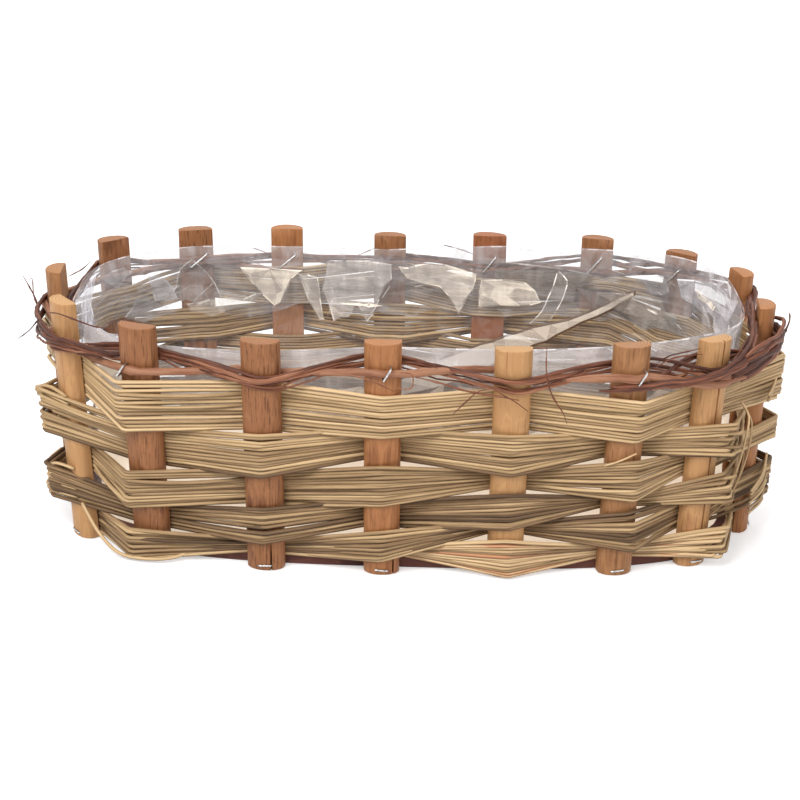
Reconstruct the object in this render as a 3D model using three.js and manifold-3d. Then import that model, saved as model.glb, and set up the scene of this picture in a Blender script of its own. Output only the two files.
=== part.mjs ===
// Oval planter basket for pots and flowers, about 40 cm long.
// Seventeen half-round wooden stakes are stapled to the edge of an oval board. A band of thin straws is
// woven in and out of them in one climbing spiral, vines wind round them at the rim, and a film liner
// stands inside, stapled through to the stakes.
// Millimetres, +Z up, +X along the length, origin in the middle of the board's underside.
import * as THREE from "three";
import Module from "manifold-3d";
import { mergeVertices } from "three/addons/utils/BufferGeometryUtils.js";

const wasm = await Module();
wasm.setup();

// The oval that the stakes' middles follow at the rim, and how far it draws in at the foot
const HALF_LENGTH = 195;
const HALF_WIDTH = 98;
const SQUARENESS = 3;
const HEIGHT = 133;
const FLARE_SIDES = 9;
const FLARE_ENDS = 4.5;
const FOOT_SHIFT = 3;
const CLEARANCE = 0.3;

// Stakes, split from round wood: flat inside, a short straight side, then a round back
const STAKE_WIDTH = 19;
const STAKE_DEPTH = 9.5;
const STAKE_SIDE = 3;
const STAKE_ARC_STEPS = 8;
const FIRST_STAKE_SHARE = 0.5567;
// One row for each stake, from the left end along the front: how far it strays from its even place
// round the oval, how much longer it is than the rest, how much wider, and how far from its middle
// the straws bend over it.
const STAKES = [
  [2, 3, -1, -7],
  [-6, 0, 1, -7],
  [0, -2, 1, 0],
  [3, 0, 0, 0],
  [10, -2, 0, 0],
  [12, 0, 0, 4],
  [1, -1, -1, 7],
  [9, 1, 0, 5],
  [7, 1, 0, 0],
  [-3, 0, 0, 0],
  [-10, 2, 0, 0],
  [-4, 0, 1, 0],
  [-3, -2, 0, 0],
  [0, 1, 0, 0],
  [-4, 1, 1, 0],
  [-11, 0, 0, 0],
  [-2, 1, 0, 0],
];
const STAKE_COUNT = STAKES.length;

// Base board
const BOARD_THICKNESS = 6;
const BOARD_POINTS = 54;

// Straw band: straws side by side, spread wide outside a stake and bunched two deep inside one
const STRAW_DIAMETER = 2.3;
const STRAWS_ACROSS = 7;
const GROOVE_DEPTH = 0.8;
const BUNCHED_THICKNESS = 3.4;
const SPREAD = 0.16;
const ROW_GAP = 0.8;
const MOST_ROOM = 23;
const BAND_START_INDEX = 3;
const CROSSINGS_PER_BUNDLE = 18;
const SPLICE_GAP = 0.4;
const BEND_ROOM = 0.25;
const BEND_CHECKS = 16;
const RIM_DEPTH = 27;
// The band's climb: the stakes it has crossed since its start, and its middle's height in percent of
// the woven wall, from the board up to the rim. It starts behind the middle front stake, and each row
// below is one turn round the basket.
const BAND_CLIMB = [
  [0, 5], [1, 7], [6, 8], [14, 8.5], [15, 6.5], [16, 9],
  [17, 18], [19, 23], [21, 21.5], [24, 32], [26, 34], [31, 22.5], [33, 25],
  [35, 36.5], [37, 40], [38, 37], [41, 51], [44, 54], [49, 40.5],
  [51, 50], [53, 53.5], [55, 52], [58, 70], [60, 73], [65, 62.5], [67, 65],
  [69, 69], [71, 70.5], [72, 67.5], [75, 84], [78, 91], [83, 86.5],
  [86, 88], [89, 82], [92, 95],
];
const BAND_CROSSINGS = BAND_CLIMB.at(-1)[0];
const WOVEN_HEIGHT = HEIGHT - RIM_DEPTH - BOARD_THICKNESS;

// Vines at the rim: diameter, depth below the stakes' tops, the crossing that each starts at, and sides
const VINES = [
  { name: "rim_vine_thick", diameter: 4.4, below: 15.5, startCount: 10, sides: 6 },
  { name: "rim_vine_upper", diameter: 2.2, below: 11.8, startCount: 9, sides: 5 },
  { name: "rim_vine_red", diameter: 3, below: 19.8, startCount: 9, sides: 5 },
  { name: "rim_vine_brown", diameter: 2.4, below: 22.9, startCount: 9, sides: 5 },
  { name: "rim_vine_lower", diameter: 2, below: 25.5, startCount: 9, sides: 5 },
];
const VINE_CROSSINGS = 16;
const VINE_WANDER = 1.2;
const VINE_WANDER_PER_STAKE = 1.9;
const VINE_CREST_ROOM = 0.15;
const VINE_SHOULDER_DROP = 1.1;

// Side shoots: the crossing of the lowest vine that each grows from, and how far its tip reaches
const SHOOTS = [
  { name: "side_shoot_left", crossing: 13.6, reach: { out: 13, way: 0, up: 17 }, diameter: 1.5 },
  { name: "side_shoot_end", crossing: 13.5, reach: { out: 15, way: 2, up: -9 }, diameter: 1.2 },
  { name: "side_shoot_right", crossing: 4.3, reach: { out: 6, way: 4, up: 12 }, diameter: 1.6 },
];
const SHOOT_STEPS = 4;

// Film liner: a loose bag, its top edge a little higher at the right end
const FILM_THICKNESS = 0.8;
const FILM_ROOM = 2.4;
const FILM_BELOW_TOP = 7;
const FILM_SLANT = 8;
const FILM_FLOOR_RADIUS = 5;
const FILM_EDGE_WAVE = 1.5;
const FILM_EDGE_WAVES = 7;

// Staples: crown length, and the wire's thickness and width
const BASE_STAPLE = { crown: 6.6, wire: 0.7, width: 1.1 };
const VINE_STAPLE = { crown: 8, wire: 0.7, width: 1 };
const LINER_STAPLE = { crown: 12.8, wire: 0.7, width: 1 };
const STAPLE_BITE = 4;
const BASE_STAPLE_BITE = 7;
const STAPLE_TILT = THREE.MathUtils.degToRad(50);
const VINE_STAPLED_INDEXES = [1, 3, 5];
const LINER_STAPLED_INDEXES = [2, 4, 6, 9, 10, 11, 13, 14];

// Plan of the basket: a superellipse, with places on it counted by arc length from the right end

const PLAN_SAMPLES = 1440;

function ovalPoint(angle) {
  const c = Math.cos(angle);
  const s = Math.sin(angle);
  const bend = 2 / SQUARENESS;
  return new THREE.Vector2(
    HALF_LENGTH * Math.sign(c) * Math.abs(c) ** bend,
    HALF_WIDTH * Math.sign(s) * Math.abs(s) ** bend,
  );
}

// Outward normal of the superellipse, from its implicit equation
function ovalNormal(point) {
  const power = SQUARENESS - 1;
  const x = (Math.sign(point.x) * Math.abs(point.x / HALF_LENGTH) ** power) / HALF_LENGTH;
  const y = (Math.sign(point.y) * Math.abs(point.y / HALF_WIDTH) ** power) / HALF_WIDTH;
  return new THREE.Vector2(x, y).normalize();
}

const planPoints = Array.from({ length: PLAN_SAMPLES + 1 }, (_, i) =>
  ovalPoint((2 * Math.PI * i) / PLAN_SAMPLES),
);
const planLengths = [0];
for (let i = 1; i <= PLAN_SAMPLES; i++)
  planLengths.push(planLengths[i - 1] + planPoints[i].distanceTo(planPoints[i - 1]));
const PERIMETER = planLengths[PLAN_SAMPLES];
const STAKE_PITCH = PERIMETER / STAKE_COUNT;

// A station: a point of the oval, its outward normal, the way round, and how the wall leans there
function station(length) {
  const wanted = THREE.MathUtils.euclideanModulo(length, PERIMETER);
  const i = Math.max(1, planLengths.findIndex((l) => l >= wanted));
  const t = (wanted - planLengths[i - 1]) / (planLengths[i] - planLengths[i - 1]);
  const point = planPoints[i - 1].clone().lerp(planPoints[i], t);
  const normal = ovalNormal(point);
  const tangent = new THREE.Vector2(-normal.y, normal.x);
  const flare = THREE.MathUtils.lerp(FLARE_SIDES, FLARE_ENDS, normal.x ** 2);
  const foot = normal.clone().multiplyScalar(-flare).add(new THREE.Vector2(FOOT_SHIFT, 0));
  const rise = new THREE.Vector3(-foot.x / HEIGHT, -foot.y / HEIGHT, 1);
  return { point, normal, tangent, foot, rise };
}

// A place in space beside a station: along the wall, out of it, and at a height
function place({ point, normal, tangent, foot }, along, out, z) {
  const p = point
    .clone()
    .addScaledVector(tangent, along)
    .addScaledVector(normal, out)
    .addScaledVector(foot, 1 - z / HEIGHT);
  return new THREE.Vector3(p.x, p.y, z);
}

function level(vector) {
  return new THREE.Vector3(vector.x, vector.y, 0);
}

const stakeStations = STAKES.map(([stray], i) =>
  station(PERIMETER * FIRST_STAKE_SHARE + i * STAKE_PITCH + stray),
);

function stakeIndex(count) {
  return THREE.MathUtils.euclideanModulo(BAND_START_INDEX + count, STAKE_COUNT);
}

function number(stake) {
  return String(stake + 1).padStart(2, "0");
}

// Closed skins and solids

// Joins rings of equal length into one closed skin, with flat caps on the first and the last ring
function loft(rings, flatten) {
  const count = rings[0].length;
  const vertices = rings.flat();
  const triangles = [];
  for (let r = 0; r + 1 < rings.length; r++)
    for (let i = 0; i < count; i++) {
      const a = r * count + i;
      const b = r * count + ((i + 1) % count);
      triangles.push([a, b, b + count], [a, b + count, a + count]);
    }
  const last = (rings.length - 1) * count;
  for (const [a, b, c] of THREE.ShapeUtils.triangulateShape(rings[0].map(flatten), [])) {
    triangles.push([a, c, b]);
    triangles.push([last + a, last + b, last + c]);
  }
  const insideOut = signedVolume(vertices, triangles) < 0;
  const index = triangles.flatMap(([a, b, c]) => (insideOut ? [a, c, b] : [a, b, c]));
  const position = new Float32Array(vertices.flatMap((v) => v.toArray()));
  return new THREE.BufferGeometry()
    .setAttribute("position", new THREE.BufferAttribute(position, 3))
    .setIndex(index);
}

function signedVolume(vertices, triangles) {
  let sum = 0;
  for (const [a, b, c] of triangles)
    sum += vertices[a].dot(vertices[b].clone().cross(vertices[c])) / 6;
  return sum;
}

function solidOf(geometry) {
  const bare = geometry.clone();
  bare.deleteAttribute("normal");
  bare.deleteAttribute("uv");
  const merged = mergeVertices(bare, 1e-4);
  return new wasm.Manifold(
    new wasm.Mesh({
      numProp: 3,
      vertProperties: merged.attributes.position.array,
      triVerts: new Uint32Array(merged.index.array),
    }),
  );
}

function geometryOf(solid) {
  const mesh = solid.getMesh();
  return new THREE.BufferGeometry()
    .setAttribute("position", new THREE.BufferAttribute(mesh.vertProperties, 3))
    .setIndex(new THREE.BufferAttribute(mesh.triVerts, 1));
}

function cutAway(geometry, cutters) {
  if (!cutters.length) return geometry;
  return geometryOf(
    cutters.reduce((solid, cutter) => solid.subtract(solidOf(cutter)), solidOf(geometry)),
  );
}

// A round cord through points, its radius a function of the share of the way along it
function cordGeometry(points, radiusAt, sides) {
  const angles = Array.from({ length: sides }, (_, i) => (2 * Math.PI * (i + 0.5)) / sides);
  const rings = points.map((centre, i) => {
    const next = points[Math.min(i + 1, points.length - 1)];
    const direction = next.clone().sub(points[Math.max(i - 1, 0)]).normalize();
    const across = new THREE.Vector3(0, 0, 1).cross(direction).normalize();
    const up = direction.clone().cross(across);
    const radius = radiusAt(i / (points.length - 1));
    return angles.map((angle) =>
      centre
        .clone()
        .addScaledVector(across, radius * Math.cos(angle))
        .addScaledVector(up, radius * Math.sin(angle)),
    );
  });
  return loft(rings, (_, i) => new THREE.Vector2(Math.cos(angles[i]), Math.sin(angles[i])));
}

// Straw band

// The height of the band's middle after a count of crossings
function bandHeight(count) {
  const i = Math.max(1, BAND_CLIMB.findIndex(([reached]) => reached >= count));
  const [before, low] = BAND_CLIMB[i - 1];
  const [after, high] = BAND_CLIMB[i];
  const percent = THREE.MathUtils.mapLinear(count, before, after, low, high);
  return BOARD_THICKNESS + (WOVEN_HEIGHT * percent) / 100;
}

// The height that the band takes up at a crossing: its share of the room to the rows one turn away,
// or, in the first row, of the room down to the board
function bandSpread(count) {
  const here = bandHeight(count);
  const turnUp = count + STAKE_COUNT;
  const turnDown = count - STAKE_COUNT;
  const up = turnUp <= BAND_CROSSINGS ? bandHeight(turnUp) - here : MOST_ROOM;
  const down = turnDown >= 0 ? here - bandHeight(turnDown) : 2 * (here - BOARD_THICKNESS);
  const share = isOutside(count) ? 1 + SPREAD : 1 - SPREAD;
  return Math.min(up, down, MOST_ROOM) * share - ROW_GAP;
}

function isOutside(count) {
  return count % 2 === 1;
}

// How far out the band's middle bends in front of a stake, so that it runs straight to the inner
// corners of the stakes on both sides and clears the wood
function bendOut(count) {
  const at = stakeStations[stakeIndex(count)];
  const [, , wider, bend] = STAKES[stakeIndex(count)];
  const z = bandHeight(count);
  const room = STRAW_DIAMETER / 2 + CLEARANCE + BEND_ROOM;
  const across = (STAKE_WIDTH + wider) / 2 + room;
  const deep = STAKE_DEPTH - STAKE_SIDE + room;
  const ends = [-1, 1].map((side) => {
    const next = stakeStations[stakeIndex(count + side)];
    const half = (STAKE_WIDTH + STAKES[stakeIndex(count + side)][2]) / 2;
    const seat = STAKE_DEPTH / 2 + CLEARANCE + BUNCHED_THICKNESS / 2;
    const offset = place(next, -side * half, -seat, z).sub(place(at, 0, 0, z));
    return new THREE.Vector2(offset.dot(level(at.tangent)), offset.dot(level(at.normal)));
  });
  const outs = Array.from({ length: BEND_CHECKS - 1 }, (_, i) => {
    const angle = (Math.PI * (i + 1)) / BEND_CHECKS;
    const along = across * Math.cos(angle);
    const out = STAKE_SIDE - STAKE_DEPTH / 2 + deep * Math.sin(angle);
    const end = along > bend ? ends[1] : ends[0];
    if (Math.abs(along - bend) < BEND_ROOM) return out;
    return end.y + ((out - end.y) * (bend - end.x)) / (along - end.x);
  });
  return Math.max(...outs);
}

// A band's section: straws one above the other, each a ridge outside and inside
function bandRing(count, along) {
  const at = stakeStations[stakeIndex(count)];
  const outside = isOutside(count);
  const thickness = outside ? STRAW_DIAMETER : BUNCHED_THICKNESS;
  const seat = STAKE_DEPTH / 2 + CLEARANCE + thickness / 2;
  const z = bandHeight(count + along / STAKE_PITCH);
  const middle = place(at, along, outside ? bendOut(count) : -seat, z);
  const height = bandSpread(count);
  const levels = 2 * STRAWS_ACROSS - 1;
  const side = (sign) =>
    Array.from({ length: levels }, (_, i) => {
      const out = thickness / 2 - (i % 2) * GROOVE_DEPTH;
      return middle
        .clone()
        .addScaledVector(at.rise, height * (i / (levels - 1) - 0.5))
        .addScaledVector(level(at.normal), sign * out);
    });
  return [...side(1), ...side(-1).reverse()];
}

// Where the band's section is set at a crossing, along the wall from the stake's middle
function bandStops(count) {
  const [, , wider, bend] = STAKES[stakeIndex(count)];
  const edge = (STAKE_WIDTH + wider) / 2;
  return isOutside(count) ? [bend] : [-edge, edge];
}

// One bundle of straws, its two ends spliced to the next bundles behind a stake
function bandGeometry(from, to) {
  const rings = [];
  for (let count = from; count <= to; count++) {
    const stops = bandStops(count);
    if (count === from) stops[0] = SPLICE_GAP / 2;
    if (count === to) stops[1] = -SPLICE_GAP / 2;
    rings.push(...stops.map((along) => bandRing(count, along)));
  }
  const { normal } = stakeStations[stakeIndex(from)];
  return loft(rings, (p) => new THREE.Vector2(p.dot(level(normal)), p.z));
}

// Vines

// All vines wander up and down together, so that they stay clear of each other
function vineHeight(vine, stake) {
  return HEIGHT - vine.below + VINE_WANDER * Math.sin(stake * VINE_WANDER_PER_STAKE);
}

function isInside(vine, stake) {
  const count = THREE.MathUtils.euclideanModulo(stake - stakeIndex(vine.startCount), STAKE_COUNT);
  return count % 2 === 0;
}

// The vine's route: its stops at each crossing, behind or in front of the stake
function vineStops(vine, count) {
  const stake = stakeIndex(count);
  const at = stakeStations[stake];
  const z = vineHeight(vine, stake);
  const edge = STAKE_WIDTH / 2;
  const seat = STAKE_DEPTH / 2 + CLEARANCE + VINE_CREST_ROOM + vine.diameter / 2;
  if (isInside(vine, stake)) return [place(at, -edge, -seat, z), place(at, edge, -seat, z)];
  return [
    place(at, -edge, seat - VINE_SHOULDER_DROP, z),
    place(at, 0, seat, z),
    place(at, edge, seat - VINE_SHOULDER_DROP, z),
  ];
}

function vineGeometry(vine) {
  const last = vine.startCount + VINE_CROSSINGS;
  const points = [];
  for (let count = vine.startCount; count <= last; count++) points.push(...vineStops(vine, count));
  const middle = (ends) => ends[0].clone().lerp(ends[1], 0.5);
  points[0] = middle(points);
  points[points.length - 1] = middle(points.slice(-2));
  return cordGeometry(points, () => vine.diameter / 2, vine.sides);
}

// A shoot leaves the underside of the lowest vine, between two stakes, and bends out to its tip
function shootGeometry({ crossing, reach, diameter }) {
  const vine = VINES.at(-1);
  const count = Math.floor(crossing);
  const at = stakeStations[stakeIndex(count)];
  const start = vineStops(vine, count).at(-1).lerp(vineStops(vine, count + 1)[0], crossing - count);
  start.z -= (vine.diameter + diameter) / 2 + CLEARANCE;
  const points = Array.from({ length: SHOOT_STEPS + 1 }, (_, i) => {
    const t = i / SHOOT_STEPS;
    return start
      .clone()
      .addScaledVector(level(at.normal), reach.out * t)
      .addScaledVector(level(at.tangent), reach.way * t)
      .add(new THREE.Vector3(0, 0, reach.up * t * t));
  });
  return cordGeometry(points, (t) => (diameter / 2) * (1 - t / 2), 4);
}

// Staples

// A U of wire: crown along X, legs down Y, width across Z. A grown one is the hole that it leaves.
function stapleShape({ crown, wire }, leg, grow) {
  const out = crown / 2 + grow;
  const inner = crown / 2 - wire - grow;
  const tip = -leg - grow;
  const under = -wire - grow;
  const corners = [
    [-out, grow], [-out, tip], [-inner, tip], [-inner, under],
    [inner, under], [inner, tip], [out, tip], [out, grow],
  ];
  return new THREE.Shape(corners.map(([x, y]) => new THREE.Vector2(x, y)));
}

// A staple driven into a stake: side 1 from outside the basket, -1 from inside it
function stapleGeometry({ kind, stake, side, z, crownOut, bite, tilt }, grow = 0) {
  const leg = crownOut - STAKE_DEPTH / 2 + bite;
  const depth = kind.width + 2 * grow;
  const geometry = new THREE.ExtrudeGeometry(stapleShape(kind, leg, grow), {
    depth,
    bevelEnabled: false,
  });
  geometry.translate(0, 0, -depth / 2);
  const at = stakeStations[stake];
  const out = level(at.normal).multiplyScalar(side);
  const crown = level(at.tangent)
    .multiplyScalar(side * Math.cos(tilt))
    .add(new THREE.Vector3(0, 0, Math.sin(tilt)));
  const stand = new THREE.Matrix4().makeBasis(crown, out, crown.clone().cross(out));
  return geometry.applyMatrix4(stand.setPosition(place(at, 0, side * crownOut, z)));
}

const thickVine = VINES[0];
const filmFace = STAKE_DEPTH / 2 + CLEARANCE + VINE_CREST_ROOM + thickVine.diameter + FILM_ROOM;

// One staple through the foot of each stake into the board's edge
const baseStaples = STAKES.map((_, stake) => ({
  name: `base_staple_${number(stake)}`,
  kind: BASE_STAPLE,
  stake,
  side: 1,
  z: BOARD_THICKNESS / 2,
  crownOut: STAKE_DEPTH / 2 + CLEARANCE + BASE_STAPLE.wire,
  bite: STAKE_DEPTH + CLEARANCE + BASE_STAPLE_BITE,
  tilt: 0,
}));

// Staples over the thick vine where it lies in front of a stake
const vineStaples = VINE_STAPLED_INDEXES.map((stake) => ({
  name: `vine_staple_${number(stake)}`,
  kind: VINE_STAPLE,
  stake,
  side: 1,
  z: vineHeight(thickVine, stake),
  crownOut:
    STAKE_DEPTH / 2 + VINE_CREST_ROOM + thickVine.diameter + 2 * CLEARANCE + VINE_STAPLE.wire,
  bite: STAPLE_BITE,
  tilt: STAPLE_TILT,
}));

// Staples from inside, through the film and across the vines that lie behind that stake
const linerStaples = LINER_STAPLED_INDEXES.map((stake) => {
  const behind = VINES.slice(1).filter((vine) => vine.below > thickVine.below);
  const held = isInside(thickVine, stake) ? [thickVine] : behind;
  const top = vineHeight(held[0], stake) + held[0].diameter / 2;
  const bottom = vineHeight(held.at(-1), stake) - held.at(-1).diameter / 2;
  return {
    name: `liner_staple_${number(stake)}`,
    kind: LINER_STAPLE,
    stake,
    side: -1,
    z: (top + bottom) / 2,
    crownOut: filmFace + FILM_THICKNESS + CLEARANCE + LINER_STAPLE.wire,
    bite: STAPLE_BITE,
    tilt: STAPLE_TILT,
  };
});

const staples = [...baseStaples, ...vineStaples, ...linerStaples];

function stapleHoles(list) {
  return list.map((staple) => stapleGeometry(staple, CLEARANCE));
}

// Base board

function boardGeometry() {
  const edge = -STAKE_DEPTH / 2 - CLEARANCE;
  const outline = Array.from({ length: BOARD_POINTS }, (_, i) => {
    const p = place(station((PERIMETER * i) / BOARD_POINTS), 0, edge, 0);
    return new THREE.Vector2(p.x, p.y);
  });
  const board = new THREE.ExtrudeGeometry(new THREE.Shape(outline), {
    depth: BOARD_THICKNESS,
    bevelEnabled: false,
  });
  return cutAway(board, stapleHoles(baseStaples));
}

// Stakes

function stakeSection(width) {
  const shape = new THREE.Shape();
  const back = STAKE_DEPTH - STAKE_SIDE;
  shape.moveTo(-width / 2, -STAKE_DEPTH / 2);
  shape.lineTo(width / 2, -STAKE_DEPTH / 2);
  for (let i = 0; i <= STAKE_ARC_STEPS; i++) {
    const angle = (Math.PI * i) / STAKE_ARC_STEPS;
    const y = STAKE_SIDE - STAKE_DEPTH / 2 + back * Math.sin(angle);
    shape.lineTo((width / 2) * Math.cos(angle), y);
  }
  return shape;
}

function stakeGeometry(stake) {
  const [, longer, wider] = STAKES[stake];
  const geometry = new THREE.ExtrudeGeometry(stakeSection(STAKE_WIDTH + wider), {
    depth: HEIGHT + longer,
    bevelEnabled: false,
  });
  const at = stakeStations[stake];
  const stand = new THREE.Matrix4().makeBasis(
    level(at.tangent).negate(),
    level(at.normal),
    at.rise,
  );
  geometry.applyMatrix4(stand.setPosition(place(at, 0, 0, 0)));
  return cutAway(geometry, stapleHoles(staples.filter((staple) => staple.stake === stake)));
}

// Film liner: an open bag of even thickness, with a waving edge

function filmRing(inward, z) {
  return Array.from({ length: BOARD_POINTS }, (_, i) =>
    place(station((PERIMETER * i) / BOARD_POINTS), 0, -filmFace - inward, z),
  );
}

function waved(ring) {
  return ring.map((p, i) => {
    const wave = FILM_EDGE_WAVE * Math.sin((2 * Math.PI * FILM_EDGE_WAVES * i) / ring.length);
    const slant = (FILM_SLANT * p.x) / (2 * HALF_LENGTH);
    return new THREE.Vector3(p.x, p.y, p.z + slant + wave);
  });
}

function linerGeometry() {
  const floor = BOARD_THICKNESS + CLEARANCE;
  const bend = floor + FILM_FLOOR_RADIUS;
  const rim = HEIGHT - FILM_BELOW_TOP;
  const rings = [
    filmRing(FILM_FLOOR_RADIUS, floor),
    filmRing(0, bend),
    waved(filmRing(0, rim)),
    waved(filmRing(FILM_THICKNESS, rim)),
    filmRing(FILM_THICKNESS, bend),
    filmRing(FILM_FLOOR_RADIUS, floor + FILM_THICKNESS),
  ];
  const bag = loft(rings, (p) => new THREE.Vector2(p.x, p.y));
  return cutAway(bag, stapleHoles(linerStaples));
}

// Assembly

const wood = { color: 0xb98556, roughness: 0.75 };
const stain = { color: 0x5a332a, roughness: 0.8 };
const straw = { color: 0xb9a070, roughness: 0.7 };
const tanBark = { color: 0xa07058, roughness: 0.75 };
const redBark = { color: 0x6e3f33, roughness: 0.75 };
const wire = { color: 0xb8b8ba, roughness: 0.35, metalness: 1 };
const film = { color: 0xe8e6ea, roughness: 0.15, transparent: true, opacity: 0.3 };

const basket = new THREE.Group();

function add(name, geometry, finish) {
  const mesh = new THREE.Mesh(geometry, new THREE.MeshStandardMaterial(finish));
  mesh.name = name;
  basket.add(mesh);
}

add("base_board", boardGeometry(), stain);
STAKES.forEach((_, stake) => add(`stake_${number(stake)}`, stakeGeometry(stake), wood));
const bundles = Math.floor(BAND_CROSSINGS / CROSSINGS_PER_BUNDLE);
for (let i = 0; i < bundles; i++) {
  const from = i * CROSSINGS_PER_BUNDLE;
  const to = i + 1 === bundles ? BAND_CROSSINGS : from + CROSSINGS_PER_BUNDLE;
  add(`straw_band_${i + 1}`, bandGeometry(from, to), straw);
}
VINES.forEach((vine) =>
  add(vine.name, vineGeometry(vine), vine === thickVine ? tanBark : redBark),
);
SHOOTS.forEach((shoot) => add(shoot.name, shootGeometry(shoot), redBark));
add("film_liner", linerGeometry(), film);
staples.forEach((staple) => add(staple.name, stapleGeometry(staple), wire));

export default basket;
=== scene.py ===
# Oval planter basket: split-wood stakes on a stained board, woven round with straw, bound with vines at
# the rim and lined with clear film. Metres, +Z up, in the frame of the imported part.
import math
import random

import bmesh
import bpy
from mathutils import Matrix, Vector, geometry, noise


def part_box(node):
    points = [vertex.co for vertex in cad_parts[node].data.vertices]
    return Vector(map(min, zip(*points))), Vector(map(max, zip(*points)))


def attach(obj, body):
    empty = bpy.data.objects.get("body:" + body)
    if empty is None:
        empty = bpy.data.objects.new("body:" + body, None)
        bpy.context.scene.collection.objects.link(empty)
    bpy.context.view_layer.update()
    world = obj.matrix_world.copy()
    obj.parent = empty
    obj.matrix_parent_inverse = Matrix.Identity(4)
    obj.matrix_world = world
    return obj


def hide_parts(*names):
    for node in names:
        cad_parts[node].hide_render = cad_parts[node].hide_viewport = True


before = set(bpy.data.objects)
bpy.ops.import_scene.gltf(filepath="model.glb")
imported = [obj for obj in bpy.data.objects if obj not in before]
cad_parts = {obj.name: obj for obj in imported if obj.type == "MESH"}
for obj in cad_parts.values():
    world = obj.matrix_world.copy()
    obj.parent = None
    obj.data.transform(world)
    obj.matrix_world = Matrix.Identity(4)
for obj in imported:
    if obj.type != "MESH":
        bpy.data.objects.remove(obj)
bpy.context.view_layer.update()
MM = 0.001

# Camera
# Stands about 94 cm in front of the basket's middle and 44 cm up, a little to its left, as the feet and
# the tops of the stakes lie in the photograph.
PHOTO_WIDTH = 800
CAMERA_PLACE = Vector((-23.3, -938.1, 440.0)) * MM
CAMERA_DOWN = 0.3798
CAMERA_RIGHT = 0.0219
CAMERA_ROLL = 0.036
FOCAL_PIXELS = 1787.95
OPTICAL_CENTRE = (399.24, 395.36)
SENSOR = 36


def put_in(name, data):
    """Adds an object to the scene."""
    made = bpy.data.objects.new(name, data)
    bpy.context.scene.collection.objects.link(made)
    return made


camera = put_in("camera", bpy.data.cameras.new("camera"))
ahead = Vector((math.sin(CAMERA_RIGHT) * math.cos(CAMERA_DOWN),
                math.cos(CAMERA_RIGHT) * math.cos(CAMERA_DOWN), -math.sin(CAMERA_DOWN)))
level_right = Vector((math.cos(CAMERA_RIGHT), -math.sin(CAMERA_RIGHT), 0))
level_up = level_right.cross(ahead)
to_right = level_right * math.cos(CAMERA_ROLL) + level_up * math.sin(CAMERA_ROLL)
upward = level_up * math.cos(CAMERA_ROLL) - level_right * math.sin(CAMERA_ROLL)
turned = Matrix((to_right, upward, -ahead)).transposed()
camera.matrix_world = Matrix.Translation(CAMERA_PLACE) @ turned.to_4x4()
camera.data.sensor_width = SENSOR
camera.data.lens = FOCAL_PIXELS * SENSOR / PHOTO_WIDTH
camera.data.shift_x = (PHOTO_WIDTH / 2 - OPTICAL_CENTRE[0]) / PHOTO_WIDTH
camera.data.shift_y = (OPTICAL_CENTRE[1] - PHOTO_WIDTH / 2) / PHOTO_WIDTH
bpy.context.scene.camera = camera


# Floor and light
# A plain pale floor that keeps the basket's soft shadow, a wide soft lamp over the front left, weaker
# ones from the right and from above the back, and an even white surround.
class Nodes:
    """Short ways to add shader nodes. A socket's value may be another node's output."""

    def __init__(self, owner):
        owner.use_nodes = True
        self.tree = owner.node_tree
        self.tree.nodes.clear()

    def fill(self, node, sockets):
        for key, value in sockets.items():
            if isinstance(value, bpy.types.NodeSocket):
                self.tree.links.new(value, node.inputs[key])
            else:
                node.inputs[key].default_value = value
        return node

    def add(self, kind, sockets=None, **settings):
        made = self.tree.nodes.new("ShaderNode" + kind)
        for name, value in settings.items():
            setattr(made, name, value)
        return self.fill(made, sockets or {})

    def math(self, operation, *values):
        return self.add("Math", dict(enumerate(values)), operation=operation).outputs[0]

    def between(self, value, low, high, to_low=0, to_high=1):
        """The value's place between two limits, turned into one between two others."""
        return self.add("MapRange", {0: value, 1: low, 2: high, 3: to_low, 4: to_high}).outputs[0]

    def object_place(self):
        return self.add("TexCoord").outputs["Object"]

    def seen(self):
        """1 for what the camera sees, also by reflection or through clear film, 0 for other light."""
        rays = self.add("LightPath").outputs
        direct = self.math("MAXIMUM", rays["Is Camera Ray"], rays["Is Glossy Ray"])
        return self.math("MAXIMUM", direct, rays["Is Transmission Ray"])


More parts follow.
